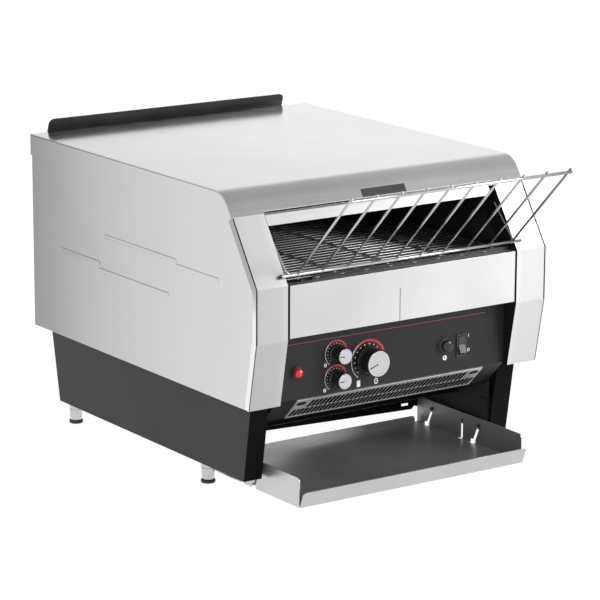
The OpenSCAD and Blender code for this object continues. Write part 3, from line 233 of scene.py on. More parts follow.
def brushed(name, grey, grain, rough=(0.24, 0.36), bump=0.10, tone=0.10, metallic=1.0,
            tint=(1, 1, 1), painted_fade=None):
    """Brushed metal: streaks in its colour, roughness and height, and faint clouds of polish.

    A fade of (axis, start, end, stops) paints light and shade into its colour, darker or lighter along
    one axis."""
    metal, tree, shader = new_finish(name, {"Metallic": metallic})
    marks = place(tree, "ShaderNodeGroup", {"Stretch": grain}, node_tree=brush_marks)
    both = place(tree, "ShaderNodeMath", {0: marks.outputs["Streaks"], 1: marks.outputs["Clouds"]},
                 operation="ADD").outputs[0]
    wear = ranged(tree, both, 0.75, 1.25)
    colour = ramp(tree, wear, [(0.0, [grey * c * (1 - tone) for c in tint]),
                               (1.0, [min(grey * c * (1 + tone), 1) for c in tint])])
    # Painted light and shade along one axis.
    if painted_fade:
        axis, start, end, stops = painted_fade
        where = place(tree, "ShaderNodeSeparateXYZ",
                      {"Vector": place(tree, "ShaderNodeTexCoord").outputs["Object"]}).outputs[axis]
        colour = multiplied(tree, colour, ramp(tree, ranged(tree, where, start, end), stops))
    tree.links.new(colour, shader.inputs["Base Color"])
    tree.links.new(ranged(tree, wear, 0, 1, *rough), shader.inputs["Roughness"])
    raised(tree, shader, marks.outputs["Streaks"], bump)
    return metal


def as_mesh(shape, name, *finishes):
    """A mesh from a shape under construction, which it uses up, with its materials."""
    mesh = bpy.data.meshes.new(name)
    shape.to_mesh(mesh)
    shape.free()
    for finish in finishes:
        mesh.materials.append(finish)
    return mesh


def closed_mesh(shape, name, *finishes):
    """A mesh from a closed shape, with every face turned outwards."""
    bmesh.ops.recalc_face_normals(shape, faces=shape.faces)
    return as_mesh(shape, name, *finishes)


def turned_mesh(profile, steps=48):
    """A shape turned round Z from (radius, height) pairs. It runs from axis to axis, or is a ring."""
    turned = bmesh.new()
    rings = []
    for radius, z in profile:
        count = steps if radius else 1
        rings.append([turned.verts.new((radius * MM * math.cos(2 * math.pi * k / count),
                                        radius * MM * math.sin(2 * math.pi * k / count), z * MM))
                      for k in range(count)])
    if profile[0][0]:
        rings.append(rings[0])
    for low, high in zip(rings, rings[1:]):
        for k in range(steps):
            corners = [low[k % len(low)], low[(k + 1) % len(low)], high[(k + 1) % len(high)],
                       high[k % len(high)]]
            turned.faces.new(list(dict.fromkeys(corners)))
    return closed_mesh(turned, "turned")


def node_tree_for_shapes(name, sockets):
    """A Geometry Nodes tree with a geometry input and output and the named inputs."""
    tree = bpy.data.node_groups.new(name, "GeometryNodeTree")
    tree.interface.new_socket(name="Geometry", in_out="OUTPUT", socket_type="NodeSocketGeometry")
    tree.interface.new_socket(name="Geometry", in_out="INPUT", socket_type="NodeSocketGeometry")
    for label, kind in sockets.items():
        tree.interface.new_socket(name=label, in_out="INPUT", socket_type="NodeSocket" + kind)
    return tree, tree.nodes.new("NodeGroupInput").outputs, tree.nodes.new("NodeGroupOutput").inputs


def end_in_finish(tree, shape, given, result):
    """Ends a tree with real geometry in the finish that it is given."""
    real = place(tree, "GeometryNodeRealizeInstances", {"Geometry": shape})
    finished = place(tree, "GeometryNodeSetMaterial",
                     {"Geometry": real.outputs["Geometry"], "Material": given["Finish"]})
    tree.links.new(finished.outputs["Geometry"], result["Geometry"])


# Sets a copy of a piece at each point, turned and sized by the point's own attributes.
setting_out, given, result = node_tree_for_shapes("setting_out", {"Piece": "Object",
                                                                  "Finish": "Material"})
turn, size = (place(setting_out, "GeometryNodeInputNamedAttribute", {"Name": word},
                    data_type="FLOAT_VECTOR") for word in ("turn", "size"))
turned_by = place(setting_out, "FunctionNodeEulerToRotation", {"Euler": turn.outputs["Attribute"]})
shape = place(setting_out, "GeometryNodeObjectInfo", {"Object": given["Piece"]})
copies = place(setting_out, "GeometryNodeInstanceOnPoints",
               {"Points": given["Geometry"], "Instance": shape.outputs["Geometry"],
                "Rotation": turned_by.outputs["Rotation"], "Scale": size.outputs["Attribute"]})
end_in_finish(setting_out, copies.outputs["Instances"], given, result)


def shaped_by(tree, mesh, inputs):
    """Runs a Geometry Nodes tree on a mesh and returns the plain mesh that it makes."""
    holder = made_object("holder", mesh)
    nodes = holder.modifiers.new("nodes", "NODES")
    nodes.node_group = tree
    for socket in tree.interface.items_tree:
        if socket.in_out == "INPUT" and socket.name in inputs:
            nodes[socket.identifier] = inputs[socket.name]
    seen = holder.evaluated_get(bpy.context.evaluated_depsgraph_get())
    made = bpy.data.meshes.new_from_object(seen)
    holder.modifiers.remove(nodes)
    bpy.data.objects.remove(holder)
    return made


def set_out(shape_mesh, spots, finish):
    """Copies of a shape at spots of (place, turn) or (place, turn, size), in one mesh."""
    points = bpy.data.meshes.new("points")
    points.from_pydata([spot[0] for spot in spots], [], [])
    turns = points.attributes.new("turn", "FLOAT_VECTOR", "POINT")
    sizes = points.attributes.new("size", "FLOAT_VECTOR", "POINT")
    for k, spot in enumerate(spots):
        turns.data[k].vector = spot[1]
        sizes.data[k].vector = spot[2] if len(spot) > 2 else (1, 1, 1)
    pattern = made_object("pattern", shape_mesh)
    made = shaped_by(setting_out, points, {"Piece": pattern, "Finish": finish})
    bpy.data.objects.remove(pattern)
    return made


def gathered(name, finish, *meshes, angle=40):
    """One object from several meshes, smooth where they bend less than the angle."""
    whole = bmesh.new()
    for mesh in meshes:
        whole.from_mesh(mesh)
    for face in whole.faces:
        face.material_index = 0
        face.smooth = True
    mesh = as_mesh(whole, name, finish)
    mesh.set_sharp_from_angle(angle=math.radians(angle))
    return made_object(name, mesh)


def laid_out(name, finish, *layouts, angle=40):
    """One object from (shape, spots) pairs, with a copy of each shape at each of its spots."""
    return gathered(name, finish, *[set_out(shape, spots, finish) for shape, spots in layouts],
                    angle=angle)


def stands_for(piece, *nodes):
    """Rides the piece on the body of the CAD nodes that it replaces, and hides those nodes."""
    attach(piece, frame["nodes"][nodes[0]]["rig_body"])
    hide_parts(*nodes)


UPRIGHT = (0, 0, 0)
foot_steel = brushed("foot_steel", 0.56, ALL_WAYS, rough=(0.2, 0.3), tone=0.12)
leg = turned_mesh([(0, 5), (8.1, 5), (8.3, 5.3), (9.1, 20.6), (8.6, 21.0), (8.6, 21.9), (9.2, 22.3),
                   (9.5, 28.9), (9.2, 29.4), (0, 29.4)])
nut = turned_mesh([(0, 30.9), (5.6, 30.9), (6, 31.4), (6, 35.4), (5.6, 35.9), (0, 35.9)], steps=6)
foot_spots = [(at(x, y, 0), UPRIGHT) for x in (-202.6, 202.6) for y in (162.7, 510.2)]
stands_for(laid_out("turned_feet", foot_steel, (leg, foot_spots), (nut, foot_spots)), "feet")

# ---- Foot pads ----
# Round pads of black rubber, pressed on the legs. They are matt and a little dusty.

# Powder coat: the fine peel of its skin, and soft patches of sheen and dust.
powder_coat, given, result = shader_group("powder_coat", {"Peel": 900.0}, ["Peel", "Dust"])
spot = place(powder_coat, "ShaderNodeTexCoord").outputs["Object"]
powder_coat.links.new(noise(powder_coat, spot, Scale=given["Peel"], Detail=2.0), result["Peel"])
powder_coat.links.new(noise(powder_coat, spot, Scale=11.0, Detail=6.0, Roughness=0.6), result["Dust"])


def coated(name, dark, light, rough=(0.38, 0.5), bump=0.18, peel_size=900.0, metallic=0.0,
           specular=0.5):
    """Powder coat or moulded plastic: fine peel in its height and soft variation in its tone."""
    paint, tree, shader = new_finish(name, {"Metallic": metallic, "Specular IOR Level": specular})
    marks = place(tree, "ShaderNodeGroup", {"Peel": peel_size}, node_tree=powder_coat)
    tree.links.new(ramp(tree, marks.outputs["Dust"], [(0.35, dark), (0.65, light)]),
                   shader.inputs["Base Color"])
    tree.links.new(ranged(tree, marks.outputs["Dust"], 0.35, 0.65, *rough), shader.inputs["Roughness"])
    raised(tree, shader, marks.outputs["Peel"], bump)
    return paint


def skin(node, *finishes, edge=0.3, bend=34, pick=None, rim=None):
    """The node's shape in one closed skin, its cut edges broken and its bends smooth.

    A rim of (width, way) rounds the edges of the second finish on the side that looks that way."""
    loose = bmesh.new()
    loose.from_mesh(frame["nodes"][node].data)
    bmesh.ops.remove_doubles(loose, verts=loose.verts, dist=2e-6)
    bmesh.ops.dissolve_limit(loose, angle_limit=math.radians(0.6), verts=loose.verts,
                             edges=loose.edges)
    loose.normal_update()
    for face in loose.faces:
        face.smooth = True
        face.material_index = pick(face.calc_center_median(), face.normal) if pick else 0
    if rim:
        width, way = rim
        borders = [line for line in loose.edges
                   if {face.material_index for face in line.link_faces} == {0, 1}
                   and max(face.normal.dot(way) for face in line.link_faces) > 0.7]
        bmesh.ops.bevel(loose, geom=borders, offset=width * MM, segments=2, profile=0.5,
                        affect="EDGES", clamp_overlap=False, material=1)
    mesh = as_mesh(loose, node + "_skin", *finishes)
    mesh.set_sharp_from_angle(angle=math.radians(bend))
    piece = made_object(node + "_skin", mesh)
    if edge:
        broken = piece.modifiers.new("broken_edges", "BEVEL")
        broken.width = edge * MM
        broken.segments = 2
        broken.limit_method = "ANGLE"
        broken.angle_limit = math.radians(bend)
        broken.harden_normals = True
        broken.use_clamp_overlap = True
    stands_for(piece, node)


skin("foot_pads", coated("pad_rubber", 0.012, 0.02, rough=(0.55, 0.7)), edge=0.25)

# ---- Base sides and slide guards ----
# Folded mild steel with a satin black powder coat, bolted under the chassis floor. The faces that
# look forwards take a darker, duller copy of the coat: painted shade.
side_black = coated("side_black", (0.018, 0.018, 0.019), (0.026, 0.026, 0.027), rough=(0.42, 0.55),
                    specular=0.3)
# A darker copy of the black coat for faces that look forwards: painted shade.
front_painted_shade = coated("front_painted_shade", 0.002, 0.004, rough=(0.5, 0.6), specular=0.05)


def front_faces_shaded(centre, normal):
    """The faces that look forwards take the darker copy of the coat, as painted shade."""
    return 1 if normal.y < -0.6 else 0


for node in ("left_base", "right_base", "slide_guards"):
    skin(node, side_black, front_painted_shade, pick=front_faces_shaded)

# ---- Chassis floor ----
# Plain zinc-coated sheet with the toast's opening in it. It carries the chamber, the drive and
# the control box, and it is spot welded to the base sides.
zinc_sheet = brushed("zinc_sheet", 0.45, (60, 60, 60), rough=(0.38, 0.5), tone=0.15)


def dress(finish, *nodes):
    """Gives CAD nodes that keep their shape a finished material."""
    for node in nodes:
        mesh = frame["nodes"][node].data
        mesh.materials.clear()
        mesh.materials.append(finish)


dress(zinc_sheet, "chassis_floor")

# ---- Chamber walls, reflectors and wool ----
# Zinc-coated walls that heat and crumbs have darkened, bright reflectors over and under the
# belt, and a blanket of mineral wool that lies on the upper reflector.
scorched = brushed("scorched_zinc", 0.10, ALL_WAYS, rough=(0.45, 0.6), tone=0.3)
reflector_steel = brushed("reflector_steel", 0.30, ALONG_X, rough=(0.3, 0.45), tone=0.2)
mineral_wool = coated("mineral_wool", (0.62, 0.60, 0.54), (0.75, 0.73, 0.67), rough=(0.85, 0.95),
                      peel_size=300.0, bump=0.9)
dress(scorched, "left_chamber_wall", "right_chamber_wall")
dress(reflector_steel, "upper_reflector", "lower_reflector")
dress(mineral_wool, "insulation_blanket")

# ---- Heaters ----
# Sheathed tubes, oxidised brown, that lie across the chamber. They end in white ceramic bushes
# outside its walls, and their wires meet in a ceramic terminal block at the back.
oxidised = coated("oxidised_tube", (0.07, 0.055, 0.05), (0.15, 0.11, 0.09), metallic=0.6,
                  peel_size=400.0)
ceramic = coated("ceramic", (0.70, 0.68, 0.62), (0.80, 0.78, 0.72), rough=(0.5, 0.65))
dress(oxidised, "upper_heaters", "lower_heaters")
dress(ceramic, "heater_terminals", "terminal_block")

# ---- Wire belt ----
# Eighty-four spring steel cross wires, tied to their neighbours by small flat rings, run as one
# loop over both shafts. Rings in neighbouring rows are staggered. Rails carry the upper run.
BELT_PITCH, BELT_TEETH, RUN_LINKS = 12.7, 12, 36
WIRE_R, BELT_HALF = 1.2, 178
FRONT_SHAFT, SHAFT_Z = 42, 272.47
belt_r = BELT_PITCH / (2 * math.sin(math.pi / BELT_TEETH))

# Turns lines of points into wire: its corners are bent round, and its ends are closed.
bent_wire, given, result = node_tree_for_shapes(
    "bent_wire", {"Radius": "Float", "Bend Radius": "Float", "Bend Steps": "Int", "Sides": "Int",
                  "Finish": "Material"})
line = place(bent_wire, "GeometryNodeMeshToCurve", {"Mesh": given["Geometry"]})
bends = place(bent_wire, "GeometryNodeFilletCurve",
              {"Curve": line.outputs["Curve"], "Count": given["Bend Steps"],
               "Radius": given["Bend Radius"], "Limit Radius": True}, mode="POLY")
round_bar = place(bent_wire, "GeometryNodeCurvePrimitiveCircle",
                  {"Resolution": given["Sides"], "Radius": given["Radius"]})
drawn = place(bent_wire, "GeometryNodeCurveToMesh",
              {"Curve": bends.outputs["Curve"], "Profile Curve": round_bar.outputs["Curve"],
               "Fill Caps": True})
end_in_finish(bent_wire, drawn.outputs["Mesh"], given, result)


def wire_mesh(lines, radius, finish, bend=0.0, steps=6, sides=12, ring=False):
    """Round wire of that radius in millimetres along each line of points."""
    path = bpy.data.meshes.new("path")
    points, edges = [], []
    for line_points in lines:
        first = len(points)
        points += [tuple(point) for point in line_points]
        edges += [(k, k + 1) for k in range(first, len(points) - 1)]
        if ring:
            edges.append((len(points) - 1, first))
    path.from_pydata(points, edges, [])
    mesh = shaped_by(bent_wire, path, {"Radius": radius * MM, "Bend Radius": bend * MM,
                                       "Bend Steps": steps, "Sides": sides, "Finish": finish})
    welded = bmesh.new()
    welded.from_mesh(mesh)
    bmesh.ops.remove_doubles(welded, verts=welded.verts, dist=1e-6)
    return closed_mesh(welded, "wire")


def rod_mesh(length, radius, steps=16):
    """A straight rod along Z from zero, with cropped and lightly rounded ends."""
    soft = radius * 0.35
    return turned_mesh([(0, 0), (radius - soft, 0), (radius, soft), (radius, length - soft),
                        (radius - soft, length), (0, length)], steps=steps)


belt_steel = brushed("belt_steel", 0.46, ALL_WAYS, rough=(0.28, 0.42), tone=0.25,
                     tint=(1.0, 0.985, 0.96))
rear_shaft = FRONT_SHAFT + RUN_LINKS * BELT_PITCH
loop = []
for start, end, way in ((FRONT_SHAFT, rear_shaft, 1), (rear_shaft, FRONT_SHAFT, -1)):
    loop += [(start + way * (k + 0.5) * BELT_PITCH, SHAFT_Z + way * belt_r) for k in range(RUN_LINKS)]
    turns = [math.radians(90 * way - (k + 0.5) * 360 / BELT_TEETH) for k in range(BELT_TEETH // 2)]
    loop += [(end + belt_r * math.cos(a), SHAFT_Z + belt_r * math.sin(a)) for a in turns]
SIDEWAYS = (0, math.pi / 2, 0)
wire_spots = [(at(-BELT_HALF, y, z), SIDEWAYS) for y, z in loop]
RING_HALF, RING_REACH, RING_LIFT, RING_SHIFT = 2.1, BELT_PITCH / 2 + 1.3, 0.9, 2.6
ring_corners = [Vector((s * RING_HALF * MM, t * RING_REACH * MM, 0))
                for s, t in ((-1, -1), (1, -1), (1, 1), (-1, 1))]
ring = wire_mesh([ring_corners], 0.55, belt_steel, bend=1.4, steps=2, sides=4, ring=True)
uneven = random.Random(11)
ring_spots = []
for k, (y, z) in enumerate(loop):
    y1, z1 = loop[(k + 1) % len(loop)]
    angle = math.atan2(z1 - z, y1 - y)
    for x in (-172, -86, 0, 86, 172):
        shift = (RING_SHIFT if k % 2 else -RING_SHIFT) + uneven.uniform(-0.4, 0.4)
        ring_spots.append((at(x + shift, (y + y1) / 2 - RING_LIFT * math.sin(angle),
                              (z + z1) / 2 + RING_LIFT * math.cos(angle)), (angle, 0, 0)))
stands_for(laid_out("wire_belt", belt_steel, (rod_mesh(2 * BELT_HALF, WIRE_R, steps=10), wire_spots),
                    (ring, ring_spots), angle=50), "belt_top_run", "belt_return_run",
           "belt_front_wrap", "belt_rear_wrap")
dress(zinc_sheet, "belt_supports")

# ---- Shafts and bearings ----
# Two ground steel shafts with toothed plates that drive the belt. They turn in sintered bronze
# bushes pressed into the chamber walls.
drive_steel = brushed("drive_steel", 0.36, ALL_WAYS, rough=(0.3, 0.45), tone=0.2)
bronze = brushed("bronze", 0.55, ALL_WAYS, tint=(1.0, 0.68, 0.36))
dress(drive_steel, "front_shaft", "rear_shaft")
dress(bronze, "shaft_bearings")

# ---- Motor, chain and fan ----
# An enamelled gear motor turns the rear shaft through a roller chain beside the chamber. A
# small plastic fan on the back panel cools its bay.
motor_paint = coated("motor_paint", (0.045, 0.047, 0.05), (0.065, 0.067, 0.07))
black_plastic = coated("black_plastic", (0.010, 0.010, 0.011), (0.016, 0.016, 0.017),
                       rough=(0.3, 0.42), bump=0.08)
dress(drive_steel, "chain_sprocket", "motor_sprocket", "drive_chain")
dress(motor_paint, "drive_motor")
skin("fan_housing", black_plastic)
skin("fan_rotor", black_plastic)

# ---- Toast slide and rear guide ----
# Polished stainless sheets that turn the toast round behind the belt and bring it down to the
# front, where the slide's faces that look forwards are painted black as painted shade. Sliding
# bread keeps them bright along its path.
slide_steel = brushed("slide_steel", 0.5, ALONG_Y, rough=(0.2, 0.32))
skin("toast_slide", slide_steel, front_painted_shade, pick=front_faces_shaded)
skin("rear_guide", slide_steel)

# ---- Side panels and back ----
# Stainless sheets, the sides brushed along their length and pressed with long ribs, the back
# brushed across and cut with air slots. Screws and folded edges hold them to the chassis.
# The side steel's colour is painted darker towards the back: painted shade.
side_steel = brushed("side_steel", 0.675, ALONG_Y, rough=(0.28, 0.38), tone=0.035, bump=0.05,
                     painted_fade=("Y", front_face, front_face + 0.57,
                           [(0.0, 1.0), (0.25, 0.95), (0.5, 0.86), (0.73, 0.71), (0.92, 0.51),
                            (1.0, 0.44)]))
for node in ("left_side_panel", "right_side_panel"):
    skin(node, side_steel, edge=0.25, bend=20)
skin("back_panel", brushed("back_steel", 0.60, ALONG_X, rough=(0.30, 0.42)))

# ---- Rear flange ----
# A leaning black sheet that keeps the toaster's back off a wall. It has a smooth satin coat,
# and four screws hold it to the back.
skin("rear_flange", coated("flange_black", (0.018, 0.018, 0.019), (0.03, 0.03, 0.031),
                           rough=(0.3, 0.42), specular=0.4))

# ---- Bezels and front panel ----
# Pale satin stainless, folded. The bezels frame the feed opening. Their returns into the opening
# are painted black as painted shade. A black strip of painted shade runs along the corner between
# each one and its side panel, and the fold beside it carries a bright strip of painted highlight.
BODY_HALF = 0.235
# The front steel's colour is painted dark at the left and bright towards the right, a little darker again
# at the right edge: painted light and shade.
front_steel = brushed("front_steel", 0.70, ALONG_Z, rough=(0.34, 0.44), bump=0.03, tone=0.02,
                      painted_fade=("X", -BODY_HALF, BODY_HALF,
                            [(0.0, 0.66), (0.08, 0.68), (0.10, 0.74), (0.9, 0.98), (0.92, 0.92),
                             (1.0, 0.90)]))
# Black for the returns behind the faces: painted shade.
return_painted_shade = coated("return_painted_shade", (0.006, 0.006, 0.006), (0.012, 0.011, 0.010), rough=(0.6, 0.8),
                    specular=0.1)
# A lighter copy of the front steel for the outer folds, darker towards their top: painted highlight and
# painted shade.
fold_highlight_steel = brushed("fold_highlight_steel", 0.86, ALONG_Z, rough=(0.3, 0.4), bump=0.03, tone=0.03,
                     painted_fade=("Z", 0.26, 0.298, [(0.0, 1.0), (1.0, 0.47)]))


def bezel_side(centre, normal):
    """The return into the opening is painted black as painted shade, and the outer fold takes a painted
    highlight.
    """
    if abs(normal.x) < 0.6:
        return 0
    return 1 if abs(centre.x) < 0.2 else 2


for node in ("left_bezel", "right_bezel"):
    skin(node, front_steel, return_painted_shade, fold_highlight_steel, pick=bezel_side)
skin("front_panel", front_steel)
SLOPE_FOOT, SLOPE_HEAD = (0, 298), (55, 382)
slope_y, slope_z = (Vector(SLOPE_HEAD) - Vector(SLOPE_FOOT)).normalized()
slope_out = Vector((0, -slope_z, slope_y))


def walls(shape, rows, closed=False):
    """Adds faces along rows of four corners, and lists each face with its row's number."""
    count = len(rows) if closed else len(rows) - 1
    made = []
    for k in range(count):
        one, two = rows[k], rows[(k + 1) % len(rows)]
        for j in range(4):
            made.append((shape.faces.new((one[j], one[(j + 1) % 4], two[(j + 1) % 4], two[j])), k))
    if not closed:
        made += [(shape.faces.new(rows[0]), 0), (shape.faces.new(rows[-1]), count - 1)]
    return made


def strip_along(name, points, across, thick, finish, body="casing"):
    """A thin closed strip on a body. It follows points and is as wide as the vector across."""
    strip = bmesh.new()
    walls(strip, [[strip.verts.new(point + v) for v in (Vector(), across, across + thick, thick)]
                  for point in points])
    piece = made_object(name, closed_mesh(strip, name, finish))
    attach(piece, body)


# Dark strips along the bezels' outer corners: painted shade. Bright strips on the folds beside them:
# painted highlight.
painted_shade_black = coated("painted_shade_black", 0.006, 0.010, rough=(0.6, 0.7), specular=0.1)
BEZEL_EDGE = [(17, 136.4), (0, 226), (0, 298), (54.6, 381.4)]
STRIP_HALF, STRIP_OUT, STRIP_T = 234.4, 234.96, 0.1
for side, word in ((-1, "left"), (1, "right")):
    edge_points = [at(side * STRIP_HALF, y - 0.05, z) for y, z in BEZEL_EDGE]
    strip_along(word + "_joint_strip", edge_points[1:], Vector((-side * 1.9 * MM, 0, 0)),
                Vector((0, -0.12 * MM, 0.06 * MM)), painted_shade_black)
    strip_along(word + "_joint_strip_low", edge_points[:2], Vector((-side * 1.0 * MM, 0, 0)),
                Vector((0, -0.1 * MM, 0)), painted_shade_black)
    fold_points = [at(side * STRIP_OUT, y + 0.8, z) for y, z in BEZEL_EDGE[1:3]]
    strip_along(word + "_fold_strip", fold_points, Vector((0, 6.4 * MM, 0)),
                Vector((side * STRIP_T * MM, 0, 0)), fold_highlight_steel)

# ---- Feed lintel ----
# A narrow folded strip of the same satin steel under the cover's front edge. Its return, behind
# the face, is painted black as painted shade.
def shaded_return(centre, normal):
    """Everything more than the sheet's thickness behind the lintel's face is painted black, as painted
    shade.
    """
    return 1 if (centre - at(0, *SLOPE_FOOT)).dot(slope_out) < -1.6 * MM else 0


skin("feed_lintel", front_steel, return_painted_shade, pick=shaded_return)

# ---- Guard strip ----
# A dark coated strip behind the front panel's upper edge. Under each rack bar it has a slot, and
# under all but the outer two a small bright tab is turned out of it.
skin("guard_strip", coated("guard_grey", (0.018, 0.018, 0.019), (0.032, 0.032, 0.033),
                           rough=(0.3, 0.4), metallic=0.3, specular=0.3))
BAR_PITCH, BAR_SHIFT, BARS = 38.7, 5.6, 10
bar_places = [BAR_SHIFT + (k - (BARS - 1) / 2) * BAR_PITCH for k in range(BARS)]
tab_and_highlight_steel = brushed("tab_and_highlight_steel", 0.9, ALL_WAYS, rough=(0.2, 0.3))
TAB_HALF, TAB_REACH, TAB_RISE = 2.9 * MM, 1.1 * MM, 1.5 * MM
TAB_Y, TAB_Z = 14.9, 298.8
tab = bpy.data.meshes.new("tab")
tab.from_pydata([(side * TAB_HALF, y, z) for y, z in ((0, 0), (-TAB_REACH, TAB_RISE * 0.55),
                                                      (0, TAB_RISE)) for side in (-1, 1)], [],
                [(0, 1, 3, 2), (2, 3, 5, 4), (0, 4, 5, 1), (0, 2, 4), (1, 5, 3)])
tabs = laid_out("guard_tabs", tab_and_highlight_steel,
                (tab, [(at(x, TAB_Y, TAB_Z), UPRIGHT) for x in bar_places[1:-1]]))
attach(tabs, "casing")

# ---- Top cover ----
# One brushed sheet with a round front bend, painted darker towards its left end as painted shade.
# A dark line of painted shade follows its edge over both sides. Along its front edge lie a black
# strip of painted shadow and a bright strip of painted highlight, and a blank plate is riveted on.
def cover_side(centre, normal):
    """The cover's side flanges are brushed along their length, like the sides, and share their painted
    shade.
    """
    return 1 if abs(normal.x) > 0.8 else 0


# The cover steel's colour is painted darker towards the left: painted shade.
cover_steel = brushed("cover_steel", 0.62, ALONG_X, rough=(0.11, 0.19), tone=0.07, bump=0.06,
                      painted_fade=("X", -BODY_HALF, BODY_HALF, [(0.0, 0.80), (0.5, 0.96), (1.0, 1.0)]))
skin("top_cover", cover_steel, side_steel, pick=cover_side)
# A black strip of painted shadow along the cover's front edge, and above it a bright strip of painted
# highlight in the tabs' steel.
EDGE_STRIP_HALF, EDGE_STRIP_START, EDGE_SHADOW_W, EDGE_HIGHLIGHT_W = 184.8, 0.3, 2.3, 0.7
slope_way = Vector((0, slope_y, slope_z)) * MM
for word, start, width, finish, slot in (
        ("cover_seal", EDGE_STRIP_START, EDGE_SHADOW_W, painted_shade_black, "black_plastic"),
        ("cover_seal_lip", EDGE_STRIP_START + EDGE_SHADOW_W, EDGE_HIGHLIGHT_W, tab_and_highlight_steel, "bright_steel")):
    ends = [at(x, *SLOPE_HEAD) + slope_way * start for x in (-EDGE_STRIP_HALF, EDGE_STRIP_HALF)]
    strip_along(word, ends, slope_way * width, slope_out * 0.12 * MM, finish)
# A dark strip on each side just under the cover's top edge: painted shade.
COVER_TOP, BEND_R, COVER_BACK, FOLD_SHADE_IN, FOLD_SHADE_STEPS = 412, 37, 570.4, 1.1, 14
bend_centre = (94.64, COVER_TOP - BEND_R)
slope_turn = math.atan2(slope_y, slope_z)
outline = [(SLOPE_HEAD[0] + FOLD_SHADE_IN * slope_z, SLOPE_HEAD[1] - FOLD_SHADE_IN * slope_y)]
for k in range(FOLD_SHADE_STEPS + 1):
    a = math.pi - slope_turn - (math.pi / 2 - slope_turn) * k / FOLD_SHADE_STEPS
    outline.append((bend_centre[0] + (BEND_R - FOLD_SHADE_IN) * math.cos(a),
                    bend_centre[1] + (BEND_R - FOLD_SHADE_IN) * math.sin(a)))
outline.append((COVER_BACK, COVER_TOP - FOLD_SHADE_IN))
for side, word in ((-1, "left"), (1, "right")):
    strip_along(word + "_cover_seam", [at(side * STRIP_OUT, y, z) for y, z in outline],
                Vector((side * STRIP_T * MM, 0, 0)), Vector((0, 0.25 * MM, -0.6 * MM)), painted_shade_black)
skin("cover_plate", black_plastic, edge=0.15)

# ---- Control box ----
# A folded black box behind the panel, which carries the switches. Its front lip hangs under the
# grille, and like the base's front edges its faces that look forwards are painted darker as
# painted shade.
skin("control_box", side_black, front_painted_shade, pick=front_faces_shaded)

# ---- Control panel ----
# A charcoal coated sheet with a folded lower part. Its marks are screen printed: a red line, a
# dial round each knob that swells from white to red, and a few small white signs.
skin("control_panel", coated("panel_grey", (0.011, 0.011, 0.012), (0.015, 0.015, 0.016),
                             rough=(0.42, 0.5), bump=0.06, specular=0.25))
PANEL, PRINT, PRINT_BACK = 25, 0.07, 0.01
WHITE_INK, RED_INK, LINE_INK = (0.72, 0.72, 0.72), (0.68, 0.12, 0.065), (0.30, 0.045, 0.04)


def ink_material(name, colour=None):
    """Screen ink with a fine grain, of one colour or as painted on the print's corners."""
    ink, tree, shader = new_finish(name, {"Roughness": 0.45})
    grain = noise(tree, place(tree, "ShaderNodeTexCoord").outputs["Object"], Scale=1500.0)
    if colour:
        source = ramp(tree, grain, [(0.3, [c * 0.82 for c in colour]), (0.6, colour)])
    else:
        painted = place(tree, "ShaderNodeVertexColor", layer_name="ink").outputs["Color"]
        source = multiplied(tree, painted, ramp(tree, grain, [(0.3, 0.82), (0.6, 1.0)]))
    tree.links.new(source, shader.inputs["Base Color"])
    return ink


def printed_band(sheet, rows, colours=None, closed=False):
    """Adds a band between pairs of (x, z) points that lie across it, in millimetres."""
    ink = sheet.loops.layers.color["ink"]
    corners = [[sheet.verts.new(at(x, PANEL - PRINT, z)) for x, z in pair]
               + [sheet.verts.new(at(x, PANEL - PRINT_BACK, z)) for x, z in reversed(pair)]
               for pair in rows]
    for face, k in walls(sheet, corners, closed):
        for corner in face.loops:
            corner[ink] = (*(colours[k] if colours else WHITE_INK), 1)


def printed_bar(sheet, x0, x1, z0, z1):
    """Adds an upright printed rectangle."""
    printed_band(sheet, [((x0, z0), (x0, z1)), ((x1, z0), (x1, z1))])


def printed_ring(sheet, x, z, inner, outer, tall=1.0):
    """Adds a printed ring, or a dot where its inner radius is near nothing."""
    spokes = [(math.cos(math.pi * k / 10), tall * math.sin(math.pi * k / 10)) for k in range(20)]
    printed_band(sheet, [((x + inner * c, z + inner * s), (x + outer * c, z + outer * s))
                         for c, s in spokes], closed=True)


def new_print():
    """An empty sheet of print whose corners carry ink colours."""
    sheet = bmesh.new()
    sheet.loops.layers.color.new("ink")
    return sheet


def finish_print(sheet, name, ink):
    """Fixes a sheet of print to the casing."""
    piece = made_object(name, closed_mesh(sheet, name, ink))
    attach(piece, "casing")


SPEED, TOP_HEAT, BOTTOM_HEAT = (-41, 174.5), (-92.6, 191.1), (-93, 157.7)
BAND_STEPS, BAND_START, BAND_SWEEP = 40, 217, 212
DOTS, DOT_START, DOT_STEP = 11, 229, 19.3
dials = new_print()
for (x, z), radius, thin, thick in ((SPEED, 26.9, 0.55, 2.0), (TOP_HEAT, 17.2, 0.4, 1.4),
                                    (BOTTOM_HEAT, 17.2, 0.4, 1.4)):
    rows, colours = [], []
    for k in range(BAND_STEPS + 1):
        t = k / BAND_STEPS
        clock = math.radians(BAND_START + BAND_SWEEP * t)
        swell = thin + (thick - thin) * max(0.0, (t - 0.32) / 0.68) ** 0.75
        if t > 0.97:
            swell *= 0.8
        rows.append([(x + (radius + d * swell) * math.sin(clock),
                      z + (radius + d * swell) * math.cos(clock)) for d in (-1, 1)])
        blush = min(1.0, max(0.0, (t - 0.36) / 0.26))
        colours.append([w + (r - w) * blush for w, r in zip(WHITE_INK, RED_INK)])
    printed_band(dials, rows, colours)
finish_print(dials, "dial_bands", ink_material("dial_ink"))

